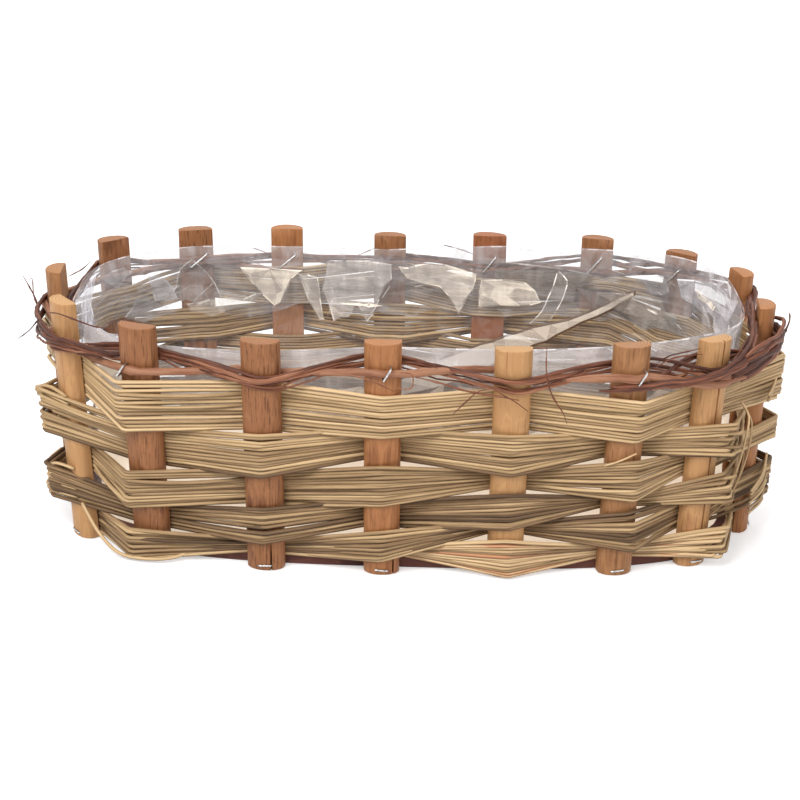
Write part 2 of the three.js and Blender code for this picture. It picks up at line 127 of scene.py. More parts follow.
class Look(Nodes):
    """A material with one Principled shader, and the nodes that its patterns are made of."""

    def __init__(self, name):
        self.material = bpy.data.materials.new(name)
        super().__init__(self.material)
        self.bsdf = self.add("BsdfPrincipled")
        self.add("OutputMaterial", {"Surface": self.bsdf.outputs[0]})

    def stored(self, name, output="Fac"):
        """A value or vector that the mesh keeps under a name."""
        return self.add("Attribute", attribute_name=name).outputs[output]

    def stretch(self, place, scale, turn=0):
        return self.add("Mapping", {"Vector": place, "Scale": scale, "Rotation": (0, 0, turn)}).outputs[0]

    def noise(self, place, scale, detail, roughness=0.5, distortion=0):
        return self.add("TexNoise", {"Vector": place, "Scale": scale, "Detail": detail,
                                     "Roughness": roughness, "Distortion": distortion}).outputs["Fac"]

    def mix(self, factor, a, b, blend="MIX"):
        return self.add("Mix", {0: factor, 6: a, 7: b}, data_type="RGBA", blend_type=blend).outputs[2]

    def ramp(self, factor, stops):
        """A colour ramp from (place, red, green, blue) stops."""
        made = self.add("ValToRGB", {"Fac": factor})
        elements = made.color_ramp.elements
        for element, stop in ((elements[0], stops[0]), (elements[1], stops[-1])):
            element.position = stop[0]
            element.color = (*stop[1:], 1)
        for stop in stops[1:-1]:
            elements.new(stop[0]).color = (*stop[1:], 1)
        return made.outputs["Color"]

    def finish(self, colour, roughness, specular, height, strength, depth):
        """Sets colour and shine, and relief from a height, its depth in mm. Gives the material."""
        bump = self.add("Bump", {"Height": height, "Strength": strength, "Distance": depth * MM})
        self.fill(self.bsdf, {"Base Color": colour, "Normal": bump.outputs[0], "Roughness": roughness,
                              "Specular IOR Level": specular})
        return self.material


FLOOR_HALF = 6
FLOOR_SINK = 0.3 * MM
FLOOR_GLOW = 0.42
FLOOR_GLOW_FROM, FLOOR_WHITE_FROM = 0.6, 2.5

floor_mesh = bpy.data.meshes.new("floor")
floor_mesh.from_pydata([(x * FLOOR_HALF, y * FLOOR_HALF, -FLOOR_SINK)
                        for x, y in ((-1, -1), (1, -1), (1, 1), (-1, 1))], [], [(0, 1, 2, 3)])
floor = put_in("floor", floor_mesh)
pale = Look("pale_floor")
away = pale.add("VectorMath", {0: pale.object_place()}, operation="LENGTH").outputs["Value"]
whiter = pale.between(away, FLOOR_GLOW_FROM, FLOOR_WHITE_FROM, FLOOR_GLOW, 1.0)
pale.fill(pale.bsdf, {"Base Color": (0.86, 0.86, 0.87, 1), "Roughness": 0.9, "Specular IOR Level": 0.1,
                      "Emission Color": (1, 1, 1, 1),
                      "Emission Strength": pale.math("MULTIPLY", pale.seen(), whiter)})
floor.data.materials.append(pale.material)

LAMPS_AIM = Vector((0, 0, 0.06))
LAMPS = {
    "key_lamp": {"place": (-0.75, -1.1, 1.35), "size": 0.9, "watts": 24},
    "fill_lamp": {"place": (1.15, -0.9, 0.8), "size": 1.0, "watts": 7},
    "top_lamp": {"place": (0.1, 0.7, 1.5), "size": 1.0, "watts": 10},
}
for name, facts in LAMPS.items():
    lamp = put_in(name, bpy.data.lights.new(name, "AREA"))
    lamp.data.size = facts["size"]
    lamp.data.energy = facts["watts"]
    lamp.location = facts["place"]
    aim = LAMPS_AIM - lamp.location
    lamp.rotation_euler = aim.to_track_quat("-Z", "Y").to_euler()

SURROUND = 0.42
world = bpy.data.worlds.new("surround")
bpy.context.scene.world = world
sky = Nodes(world)
strength = sky.between(sky.seen(), 0, 1, SURROUND, 1.0)
background = sky.add("Background", {"Color": (1, 1, 1, 1), "Strength": strength})
sky.add("OutputWorld", {"Surface": background.outputs[0]})
bpy.context.scene.view_settings.view_transform = "Standard"

# Base board
# An oval of sawn wood about 6 mm thick, stained dark red-brown. The stakes stand against its edge.
# The plan of the whole basket is a superellipse, with places on it counted by arc length.
HALF_LENGTH = 195 * MM
HALF_WIDTH = 98 * MM
SQUARENESS = 3
HEIGHT = 133 * MM
FLARE_SIDES = 9 * MM
FLARE_ENDS = 4.5 * MM
FOOT_SHIFT = Vector((3, 0, 0)) * MM
CLEARANCE = 0.3 * MM
STAKE_DEPTH = 9.5 * MM
BOARD_THICKNESS = 6 * MM
BOARD_CORNER = 0.5 * MM
BOARD_POINTS = 220
PLAN_SAMPLES = 1440


def plan_point(angle):
    bend = 2 / SQUARENESS
    return Vector((HALF_LENGTH * math.copysign(abs(math.cos(angle)) ** bend, math.cos(angle)),
                   HALF_WIDTH * math.copysign(abs(math.sin(angle)) ** bend, math.sin(angle)), 0))


plan = [plan_point(2 * math.pi * i / PLAN_SAMPLES) for i in range(PLAN_SAMPLES + 1)]
plan_lengths = [0.0]
for before, after in zip(plan, plan[1:]):
    plan_lengths.append(plan_lengths[-1] + (after - before).length)
PERIMETER = plan_lengths[-1]


class Station:
    """A place on the oval, by arc length from the right end: its outward normal, the way round, and how
    far the wall's foot is drawn in."""

    def __init__(self, length):
        wanted = length % PERIMETER
        low, high = 0, PLAN_SAMPLES
        while high - low > 1:
            middle = (low + high) // 2
            low, high = (middle, high) if plan_lengths[middle] <= wanted else (low, middle)
        share = (wanted - plan_lengths[low]) / (plan_lengths[high] - plan_lengths[low])
        self.point = plan[low].lerp(plan[high], share)
        x, y = self.point.x / HALF_LENGTH, self.point.y / HALF_WIDTH
        self.normal = Vector((math.copysign(abs(x) ** (SQUARENESS - 1), x) / HALF_LENGTH,
                              math.copysign(abs(y) ** (SQUARENESS - 1), y) / HALF_WIDTH, 0)).normalized()
        self.along = Vector((-self.normal.y, self.normal.x, 0))
        flare = FLARE_SIDES + (FLARE_ENDS - FLARE_SIDES) * self.normal.x ** 2
        self.foot = FOOT_SHIFT - self.normal * flare

    def place(self, along, out, z):
        """A point beside the station: along the wall, out of it, and at a height."""
        p = self.point + self.along * along + self.normal * out + self.foot * (1 - z / HEIGHT)
        return Vector((p.x, p.y, z))

    def local(self, p):
        """How far a point is along the wall and out of it, at its own height."""
        offset = p - self.place(0, 0, p.z)
        return offset.dot(self.along), offset.dot(self.normal)


def mesh_piece(name, vertices, faces, look, smooth=True):
    """A mesh object in the row frame that rides on the basket."""
    mesh = bpy.data.meshes.new(name)
    mesh.from_pydata([tuple(v) for v in vertices], [], faces)
    mesh.update()
    for polygon in mesh.polygons:
        polygon.use_smooth = smooth
    made = put_in(name, mesh)
    mesh.materials.append(look)
    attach(made, "root")
    return made


def skin(rings, closed=True, start=0):
    """Faces between rings of equal length, with a flat cap on the first and the last ring."""
    count = len(rings[0])
    faces = []
    for r in range(len(rings) - 1):
        for i in range(count):
            a, b = start + r * count + i, start + r * count + (i + 1) % count
            faces.append((a, b, b + count, a + count))
    if closed:
        last = start + (len(rings) - 1) * count
        faces.append(tuple(range(start + count - 1, start - 1, -1)))
        faces.append(tuple(range(last, last + count)))
    return faces


def smooth_by_angle(piece, degrees=35):
    """Keeps the sharp edges of a smooth-shaded mesh sharp."""
    made = bmesh.new()
    made.from_mesh(piece.data)
    for edge in made.edges:
        if len(edge.link_faces) == 2 and edge.calc_face_angle(0) > math.radians(degrees):
            edge.smooth = False
    made.to_mesh(piece.data)
    made.free()


def lofted(name, rings, look):
    """A closed piece whose skin runs through rings of points."""
    return mesh_piece(name, [p for ring in rings for p in ring], skin(rings), look)


def keep_values(made, name, values, domain="POINT"):
    """Stores a number or a vector for each point or face of a mesh."""
    vectors = not isinstance(values[0], (int, float))
    kept = made.data.attributes.new(name, "FLOAT_VECTOR" if vectors else "FLOAT", domain)
    if vectors:
        kept.data.foreach_set("vector", [c for vector in values for c in vector])
    else:
        kept.data.foreach_set("value", values)


def stained_board_look():
    """Dark red-brown stain over sawn grain, thin where the saw left ridges."""
    look = Look("dark_stain")
    place = look.object_place()
    fibre = look.noise(look.stretch(place, (0.06, 1, 1)), 420, 5, 0.65)
    cloud = look.noise(place, 26, 3)
    colour = look.ramp(look.math("ADD", fibre, cloud), [
        (0.62, 0.052, 0.018, 0.014), (0.95, 0.098, 0.034, 0.025),
        (1.0, 0.12, 0.043, 0.031), (1.0, 0.17, 0.07, 0.05)])
    return look.finish(colour, 0.72, 0.3, fibre, 0.5, 0.35)


def board_ring(inset, z):
    edge = -STAKE_DEPTH / 2 - CLEARANCE - inset
    ring = [Station(PERIMETER * i / BOARD_POINTS).place(0, edge, 0) for i in range(BOARD_POINTS)]
    return [Vector((p.x, p.y, z)) for p in ring]


board_rings = [board_ring(BOARD_CORNER, 0), board_ring(0, BOARD_CORNER),
               board_ring(0, BOARD_THICKNESS - BOARD_CORNER), board_ring(BOARD_CORNER, BOARD_THICKNESS)]
board = lofted("oval_board", board_rings, stained_board_look())
smooth_by_angle(board)
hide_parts("base_board")

# Stakes
# Seventeen twigs about 19 mm thick, split down the middle, peeled and sawn off. Each is round outside
# and flat inside, leans outward, and is stapled at its foot to the board's edge. No two have quite the
# same section, colour or drying cracks.
STAKE_WIDTH = 19 * MM
STAKE_SIDE = 3 * MM
FIRST_STAKE_SHARE = 0.5567
# From the left end along the front: stray round the oval, longer than the rest, wider (mm); then the
# wood's colour, how much fibre shows, and the ridge's shift to one side.
ORANGE, PALE, BROWN, RED, TAN = "orange", "pale", "brown", "red", "tan"
STAKES = [
    (2, 3, -1, PALE, 0.25, 0.1), (-6, 0, 1, BROWN, 0.9, 0.25), (0, -2, 1, BROWN, 1.0, -0.1),
    (3, 0, 0, ORANGE, 0.6, 0.0), (10, -2, 0, PALE, 0.2, 0.1), (12, 0, 0, TAN, 0.6, 0.3),
    (1, -1, -1, PALE, 0.5, 0.0), (9, 1, 0, ORANGE, 0.7, 0.1), (7, 1, 0, ORANGE, 0.6, -0.1),
    (-3, 0, 0, BROWN, 0.5, 0.15), (-10, 2, 0, BROWN, 0.6, 0.0), (-4, 0, 1, RED, 0.5, 0.1),
    (-3, -2, 0, BROWN, 0.7, -0.1), (0, 1, 0, ORANGE, 0.4, 0.1), (-4, 1, 1, BROWN, 1.0, 0.0),
    (-11, 0, 0, BROWN, 0.6, 0.1), (-2, 1, 0, TAN, 0.5, 0.2),
]
WOOD_COLOURS = {
    ORANGE: ((0.26, 0.095, 0.033), (0.43, 0.185, 0.070)),
    PALE: ((0.38, 0.180, 0.072), (0.55, 0.305, 0.130)),
    BROWN: ((0.17, 0.060, 0.024), (0.34, 0.145, 0.058)),
    RED: ((0.22, 0.068, 0.024), (0.36, 0.130, 0.052)),
    TAN: ((0.23, 0.098, 0.037), (0.40, 0.190, 0.078)),
}
# Drying cracks: the stake, its place across the back from 0 to 1, its lower and upper end in mm, and
# its width and depth in mm.
CRACKS = [
    (0, 0.15, 120, 140, 0.5, 1.5), (2, 0.62, -5, 17, 0.8, 3.0), (3, 0.72, -5, 16, 0.9, 3.0),
    (4, 0.35, 118, 134, 0.3, 0.8), (6, 0.53, 4, 140, 0.9, 2.6), (5, 0.6, 50, 78, 0.4, 0.9),
    (14, 0.5, 105, 140, 0.7, 2.0), (9, 0.55, 112, 140, 0.6, 1.5), (1, 0.5, 24, 44, 0.35, 0.8),
    (10, 0.45, 118, 140, 0.5, 1.4), (7, 0.6, -5, 40, 0.5, 1.4),
]
STAKE_BACK_STEPS = 26
STAKE_FRONT_STEPS = 6
STAKE_ROW = 4.5 * MM
SAWN_CORNER = 0.45 * MM
SPLIT_EDGE = 0.5 * MM
CRACK_FADE = 8 * MM
STAKE_COUNT = len(STAKES)
STAKE_PITCH = PERIMETER / STAKE_COUNT

stations = [Station(PERIMETER * FIRST_STAKE_SHARE + i * STAKE_PITCH + facts[0] * MM)
            for i, facts in enumerate(STAKES)]


def stake_width(index):
    return STAKE_WIDTH + STAKES[index % STAKE_COUNT][2] * MM


def stake_look(index, colour, fibre, at):
    """Peeled wood: fine fibres along the stake, clouds of colour, and rings on the sawn ends."""
    look = Look(f"peeled_wood_{index + 1:02d}")
    dark, light = WOOD_COLOURS[colour]
    place = look.object_place()
    shift = (0.37 * index, 0.21 * index, 0.13 * index)
    moved = look.add("Mapping", {"Vector": place, "Location": shift}).outputs[0]
    along = look.stretch(moved, (1, 1, 0.045))
    fine = look.noise(along, 900, 4, 0.7)
    broad = look.noise(along, 240, 3, 0.6, 0.6)
    cloud = look.noise(moved, 45, 3)
    between = [(a + 2 * b) / 3 for a, b in zip(dark, light)]
    wood = look.ramp(look.math("ADD", broad, cloud), [(0.72, *dark), (1.0, *between), (1.0, *light)])
    streak = look.ramp(fine, [(0.36, 0.45, 0.38, 0.33), (0.47, 1, 1, 1)])
    streaked = look.mix(fibre, wood, streak, "MULTIPLY")
    centre = at.place(0, -STAKE_DEPTH / 2, HEIGHT)
    about = look.add("Mapping", {"Vector": place, "Location": (-centre.x, -centre.y, 0)}).outputs[0]
    rings = look.add("TexWave", {"Vector": about, "Scale": 190, "Distortion": 1.2, "Detail": 2,
                                 "Detail Scale": 2}, wave_type="RINGS", rings_direction="Z")
    end = look.ramp(rings.outputs["Fac"], [(0.2, *[c * 0.85 for c in light]),
                                           (0.8, *[min(1, c * 1.18) for c in light])])
    facing = look.add("SeparateXYZ", {0: look.add("NewGeometry").outputs["True Normal"]}).outputs["Z"]
    colour = look.mix(look.between(facing, 0.7, 0.9), streaked, end)
    shine = look.between(cloud, 0.3, 0.7, 0.42, 0.58)
    return look.finish(colour, shine, 0.3, look.math("ADD", fine, broad), 0.35, 0.25)


def stake_section(width, shift, cracks):
    """The section's points as (along, out, share of the back), with extra ones at the cracks."""
    shares = [i / STAKE_BACK_STEPS for i in range(STAKE_BACK_STEPS + 1)]
    for _, middle, _, _, crack_width, _ in cracks:
        half = crack_width * MM / (2.4 * STAKE_WIDTH)
        shares = [s for s in shares if abs(s - middle) > 1.5 * half]
        shares += [middle - half, middle, middle + half]
    section = []
    back = STAKE_DEPTH - STAKE_SIDE
    for share in sorted(shares):
        angle = math.pi * share
        lean = shift * math.sin(angle) ** 2 * 0.12 * width
        out = STAKE_SIDE - STAKE_DEPTH / 2 + back * math.sin(angle) ** 0.94
        section.append((-(width / 2) * math.cos(angle) + lean, out, share))
    inner = -STAKE_DEPTH / 2
    section.append((width / 2, inner + SPLIT_EDGE, 2))
    for i in range(STAKE_FRONT_STEPS + 1):
        along = (width / 2 - SPLIT_EDGE) * (1 - 2 * i / STAKE_FRONT_STEPS)
        section.append((along, inner, 2))
    section.append((-width / 2, inner + SPLIT_EDGE, 2))
    return section


def stake_mesh(index):
    _, longer, _, colour, fibre, shift = STAKES[index]
    at = stations[index]
    rng = random.Random(100 + index)
    width = stake_width(index)
    top = HEIGHT + longer * MM
    cracks = [c for c in CRACKS if c[0] == index]
    section = stake_section(width, shift, cracks)
    tilt = rng.uniform(-0.03, 0.03), rng.uniform(-0.05, 0.01)
    rows = max(2, round((top - 2 * SAWN_CORNER) / STAKE_ROW))
    levels = [0] + [SAWN_CORNER + (top - 2 * SAWN_CORNER) * i / rows for i in range(rows + 1)] + [top]
    rings = []
    for z in levels:
        end = z in (0, top)
        ring = []
        for along, out, share in section:
            rough = noise.noise(Vector((along * 260, out * 260 + index * 7.3, z * 22)))
            broad = noise.noise(Vector((along * 60 + index * 3.1, index * 5.7, z * 14)))
            shrink = 1 - (rough * 0.012 + broad * 0.03) if share <= 1 else 1
            a, o = along * (1 + broad * 0.012), (out + STAKE_DEPTH / 2) * shrink - STAKE_DEPTH / 2
            for _, middle, low, high, _, depth in cracks:
                if share == middle:
                    near = min(z - low * MM, high * MM - z) / CRACK_FADE
                    o -= depth * MM * max(0.0, min(1.0, near))
            if end:
                a *= 1 - 2 * SAWN_CORNER / width
                o -= math.copysign(SAWN_CORNER, out) * 0.8
            level = z
            if z > HEIGHT / 2:
                slope = (tilt[0] * along + tilt[1] * out) * (z - HEIGHT / 2) / (HEIGHT / 2)
                level = min(z + slope, top)
            ring.append(at.place(a, o, level))
        rings.append(ring)
    look = stake_look(index, colour, fibre, at)
    made = lofted(f"split_stake_{index + 1:02d}", rings, look)
    smooth_by_angle(made, 40)
    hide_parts(f"stake_{index + 1:02d}")


for index in range(STAKE_COUNT):
    stake_mesh(index)


# Straw
# Rush straws a little over 2 mm thick, thirteen side by side, woven as one climbing spiral in front of
# one stake and behind the next. Each is bent once in front of a stake and runs straight to the next;
# behind a stake the straws bunch up two deep.
STRAW = 2.3 * MM
STRAWS = 13
BAND_START_INDEX = 3
CROSSINGS_PER_BUNDLE = 18
SPREAD = 0.16
NESTED = 2.6 * MM
MOST_ROOM = 23 * MM
MOST_OUT = 14 * MM
RIM_DEPTH = 27 * MM
WOVEN_HEIGHT = HEIGHT - RIM_DEPTH - BOARD_THICKNESS
# The band's climb: crossings since its start behind the fourth stake, and its middle's height in
# percent of the woven wall.
BAND_CLIMB = [
    (0, 5), (1, 7), (6, 8), (14, 8.5), (15, 6.5), (16, 9),
    (17, 18), (19, 23), (21, 21.5), (24, 32), (26, 34), (31, 22.5), (33, 25),
    (35, 36.5), (37, 40), (38, 37), (41, 51), (44, 54), (49, 40.5),
    (51, 50), (53, 53.5), (55, 52), (58, 70), (60, 73), (65, 62.5), (67, 65),
    (69, 69), (71, 70.5), (72, 67.5), (75, 84), (78, 91), (83, 86.5),
    (86, 88), (89, 82), (92, 95),
]
BAND_CROSSINGS = BAND_CLIMB[-1][0]
# Lowest and highest straw in mm at the crossings that the photograph shows: rows read off it,
# turned into heights at the stakes and then set right one by one
SEEN_ROWS = {
    1: (0.3, 23.5), 3: (6, 26.5), 15: (0.2, 20), 17: (8.5, 27.7), 19: (16, 40), 21: (21, 43),
    31: (24, 43.5), 33: (16.5, 39.5), 35: (29, 51.7), 37: (39, 59), 49: (31, 53.8), 51: (41.6, 66),
    53: (46, 71), 55: (54, 68), 65: (62.5, 88), 67: (56, 81.5), 69: (61, 85.6), 71: (67, 87),
    83: (75.6, 105), 85: (81.5, 105.5), 87: (80, 104.8), 89: (78, 105), 0: (6.5, 17), 2: (6, 20),
    4: (3, 17), 14: (2, 18), 16: (5, 18), 18: (14.5, 33), 20: (16, 43), 32: (14.5, 36),
    34: (18.5, 43.5), 36: (32.5, 50), 38: (36, 50), 48: (35, 57), 50: (32, 62), 52: (43.5, 67),
    54: (49, 69), 66: (50, 80), 68: (56, 85), 70: (62, 84), 72: (61, 78), 82: (79, 107),
    84: (75.5, 106.5), 86: (80.5, 107), 88: (82, 105), 76: (83.5, 107.5), 78: (88, 111),
    92: (103.5, 115), 42: (44, 69.5), 44: (46, 69), 58: (67, 92), 60: (64, 90), 62: (66.5, 87),
    74: (72, 99), 57: (50, 72), 59: (70, 83), 61: (69.5, 86.5), 75: (87, 104), 77: (90, 115),
    79: (89.5, 109), 91: (91, 110), 90: (84, 111), 73: (64, 84),
}
# Where the straws are bent in front of a stake, from its middle, in mm
KINKS = {0: -7, 1: -7, 5: 4, 6: 7, 7: 5}


def climb(count):
    """The height of the band's middle after a count of crossings."""
    for (before, low), (after, high) in zip(BAND_CLIMB, BAND_CLIMB[1:]):
        if count <= after:
            break
    percent = low + (high - low) * (count - before) / (after - before)
    return BOARD_THICKNESS + WOVEN_HEIGHT * percent / 100


def row_span(count):
    """The lowest and highest reach of the band at a crossing."""
    if count in SEEN_ROWS:
        return [SEEN_ROWS[count][0] * MM, SEEN_ROWS[count][1] * MM]
    here = climb(count)
    up = climb(count + STAKE_COUNT) - here if count + STAKE_COUNT <= BAND_CROSSINGS else MOST_ROOM
    down = here - climb(count - STAKE_COUNT) if count >= STAKE_COUNT else 2 * (here - BOARD_THICKNESS)
    share = 1 + SPREAD if count % 2 else 1 - SPREAD
    half = min(up, down, MOST_ROOM) * share / 2
    return [here - half, here + half]


# Rows that would run into each other are pushed apart, each round a little less
spans = [row_span(count) for count in range(BAND_CROSSINGS + 1)]
for _ in range(20):
    for count in range(BAND_CROSSINGS - STAKE_COUNT):
        below, above = spans[count:count + 2], spans[count + STAKE_COUNT:count + STAKE_COUNT + 2]
        clash = below[0][1] + below[1][1] - above[0][0] - above[1][0] - 2 * NESTED
        if clash > 0:
            below[count % 2][1] -= clash / 2
            above[1 - count % 2][0] += clash / 2


def stake_of(count):
    return (BAND_START_INDEX + count) % STAKE_COUNT


class StrawRun:
    """One straw's way round the basket."""

    def __init__(self, rank, rng):
        self.rank = rank
        self.rng = rng
        self.radius = STRAW / 2 * rng.uniform(0.88, 1.06)
        self.known = {}

    def height(self, count):
        """The straw's height at a crossing, and how far it is lifted off the wood."""
        if count not in self.known:
            rng = self.rng
            low, high = spans[count]
            step = max(0.4 * MM, (high - low - STRAW) / (STRAWS - 1))
            deep = math.sqrt(max(0.0, (0.7 * STRAW) ** 2 - step ** 2))
            lift = deep * (self.rank % 2) + abs(rng.gauss(0, 0.25)) * MM
            loose = 0.3 if count % 2 else 0.2
            z = low + STRAW / 2 + step * self.rank + rng.gauss(0, loose) * MM
            self.known[count] = (max(z, self.radius + 0.2 * MM), lift)
        return self.known[count]

    def inside(self, count, side):
        """Where the straw passes an inner corner of a stake: side -1 as it comes, 1 as it goes."""
        z, lift = self.height(count)
        out = -(STAKE_DEPTH / 2 + self.radius + lift)
        return stations[stake_of(count)].place(side * stake_width(stake_of(count)) / 2, out, z)

    def outside(self, count):
        """The one bend over a stake's back, far enough out for both ends to clear the wood."""
        z, lift = self.height(count)
        at = stations[stake_of(count)]
        gap = self.radius + lift
        half = stake_width(stake_of(count)) / 2 + gap
        turn = at.normal.angle(stations[stake_of(count + 1)].normal)
        kink = KINKS.get(stake_of(count), 0) * MM + self.rng.gauss(0, 0.4 + 2.5 * turn) * MM
        ends = [at.local(self.inside(count - 1, 1)), at.local(self.inside(count + 1, -1))]
        out = STAKE_DEPTH / 2 + gap
        for i in range(1, 16):
            angle = math.pi * i / 16
            along = half * math.cos(angle)
            back = STAKE_SIDE - STAKE_DEPTH / 2 + (STAKE_DEPTH - STAKE_SIDE + gap) * math.sin(angle)
            end = ends[1] if along > kink else ends[0]
            if abs(along - end[0]) > 1 * MM and abs(along - kink) > 0.1 * MM:
                out = max(out, end[1] + (back - end[1]) * (kink - end[0]) / (along - end[0]))
        return at.place(kink, min(out, MOST_OUT), z)

    def points(self, first, last):
        """The straw's corners from one crossing to another."""
        made = []
        for count in range(first, last + 1):
            if count % 2:
                made.append(self.outside(count))
            else:
                made += [self.inside(count, -1), self.inside(count, 1)]
        return made


STRAW_STEP = 11 * MM
STRAW_SIDES = 7
CORNER_CUT = 1.1 * MM
PALE_RUN = 160 * MM
BOW = 0.5 * MM
LONG_STRETCH = 30 * MM


def bent(points, phase, loose):
    """Corners joined by stretches that bow a little, each corner a short tight bend."""
    made = []
    for i, (a, b) in enumerate(zip(points, points[1:])):
        length = (b - a).length
        way = (b - a).normalized()
        side = way.cross(Vector((0, 0, 1)))
        cut = min(CORNER_CUT, 0.3 * length)
        steps = max(1, round(length / STRAW_STEP))
        swing = loose() if length > LONG_STRETCH else (0, 0)
        for k in range(steps + 1):
            run = cut + (length - 2 * cut) * k / steps
            share = run / length
            arch = 4 * share * (1 - share)
            wave = noise.noise(Vector((phase, i * 1.7, share * 1.4))) * BOW
            made.append(a + way * run + Vector((0, 0, arch * (wave + swing[0]))) + side * (arch * swing[1]))
    return made


def way_at(points, i):
    """The direction of a line at one of its points."""
    return (points[min(i + 1, len(points) - 1)] - points[max(i - 1, 0)]).normalized()


def circle(centre, across, up, radius, sides):
    angles = [2 * math.pi * k / sides for k in range(sides)]
    return [centre + across * (radius * math.cos(a)) + up * (radius * math.sin(a)) for a in angles]


def tube(points, radius_at, sides):
    """Rings round a stem through points."""
    rings = []
    for i, centre in enumerate(points):
        way = way_at(points, i)
        across = Vector((0, 0, 1)).cross(way)
        across = across.normalized() if across.length > 0.05 else Vector((1, 0, 0))
        rings.append(circle(centre, across, way.cross(across), radius_at(i), sides))
    return rings


def straw_look():
    """Dry rush: khaki with fine ribs along the stem, each straw of its own tone, and painted shade where it
    faces down.
    """
    look = Look("dry_rush_straw")
    tone = look.stored("tone")
    stem = look.stored("stem", "Vector")
    fibre = look.noise(look.stretch(stem, (14, 1, 1)), 1.0, 4, 0.6)
    patch = look.noise(look.stretch(stem, (40, 0.5, 0.5)), 1.0, 3, 0.7)
    total = look.math("ADD", look.math("MULTIPLY_ADD", patch, 0.5, -0.25), tone)
    colour = look.ramp(total, [(0.0, 0.13, 0.075, 0.039), (0.2, 0.25, 0.150, 0.075),
                               (0.45, 0.48, 0.318, 0.165), (0.65, 0.70, 0.490, 0.265),
                               (0.92, 0.82, 0.585, 0.335), (1.0, 0.64, 0.31, 0.16)])
    lines = look.ramp(fibre, [(0.34, 0.58, 0.54, 0.47), (0.58, 1, 1, 1)])
    ribbed = look.mix(0.8, colour, lines, "MULTIPLY")
    # Painted shade: each straw's colour darkens where its surface faces down.
    facing = look.add("SeparateXYZ", {0: look.add("NewGeometry").outputs["Normal"]}).outputs["Z"]
    painted_underside_shade = look.ramp(look.between(facing, -0.8, 0.2), [(0.0, 0.35, 0.3, 0.25), (1.0, 1, 1, 1)])
    return look.finish(look.mix(1.0, ribbed, painted_underside_shade, "MULTIPLY"), 0.6, 0.3, fibre, 0.3, 0.1)


class StemBuilder:
    """Gathers stems into one mesh, with each stem's tone and places along it and round it."""

    def __init__(self):
        self.vertices, self.faces, self.tones, self.stems = [], [], [], []

    def add(self, points, radius_at, sides, tone, offset, paler=0.0):
        """One stem. Its beginning may be paler than the rest."""
        rings = tube(points, radius_at, sides)
        self.faces += skin(rings, start=len(self.vertices))
        run = 0.0
        for i, ring in enumerate(rings):
            if i:
                run += (points[i] - points[i - 1]).length
            for k, p in enumerate(ring):
                angle = 2 * math.pi * k / sides
                self.vertices.append(p)
                self.tones.append(tone + paler * max(0.0, min(1.0, 2 - run / PALE_RUN)))
                self.stems.append((run + offset, math.cos(angle) + 3.7 * offset, math.sin(angle)))

    def piece(self, name, look):
        made = mesh_piece(name, self.vertices, self.faces, look)
        keep_values(made, "tone", self.tones)
        keep_values(made, "stem", self.stems)
        return made


straw_finish = straw_look()
straw_rng = random.Random(7)
runs = [StrawRun(rank, straw_rng) for rank in range(STRAWS)]


def straw_swing():
    """Up or down and outward: most straws run straight, a few wander."""
    if straw_rng.random() > 0.06:
        return 0, straw_rng.gauss(0, 0.2) * MM
    return straw_rng.uniform(-1.2, 1.2) * MM, straw_rng.uniform(0.5, 3) * MM


# The straws were cut in batches: the lower ones are browner, the top ones paler
BUNDLE_TONES = (0.33, 0.22, 0.43, 0.47, 0.67)
for bundle in range(BAND_CROSSINGS // CROSSINGS_PER_BUNDLE):
    first = bundle * CROSSINGS_PER_BUNDLE
    last = first + CROSSINGS_PER_BUNDLE
    if last + CROSSINGS_PER_BUNDLE > BAND_CROSSINGS:
        last = BAND_CROSSINGS
    straws = StemBuilder()
    for run in runs:
        corners = run.points(first, last)
        line = bent(corners, run.rank * 3.3 + bundle, straw_swing)
        tone = min(0.9, BUNDLE_TONES[bundle] + straw_rng.gauss(0, 0.16))
        paler = 0.3
        if bundle:
            paler = 0
        elif run.rank % 3 == 1:
            paler = (1.02 if run.rank % 2 else 0.9) - tone
        radius = run.radius
        straws.add(line, lambda i: radius, STRAW_SIDES, tone, straw_rng.uniform(0, 5), paler)
    piece = straws.piece(f"straw_bundle_{bundle + 1}", straw_finish)
    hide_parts(f"straw_band_{bundle + 1}")


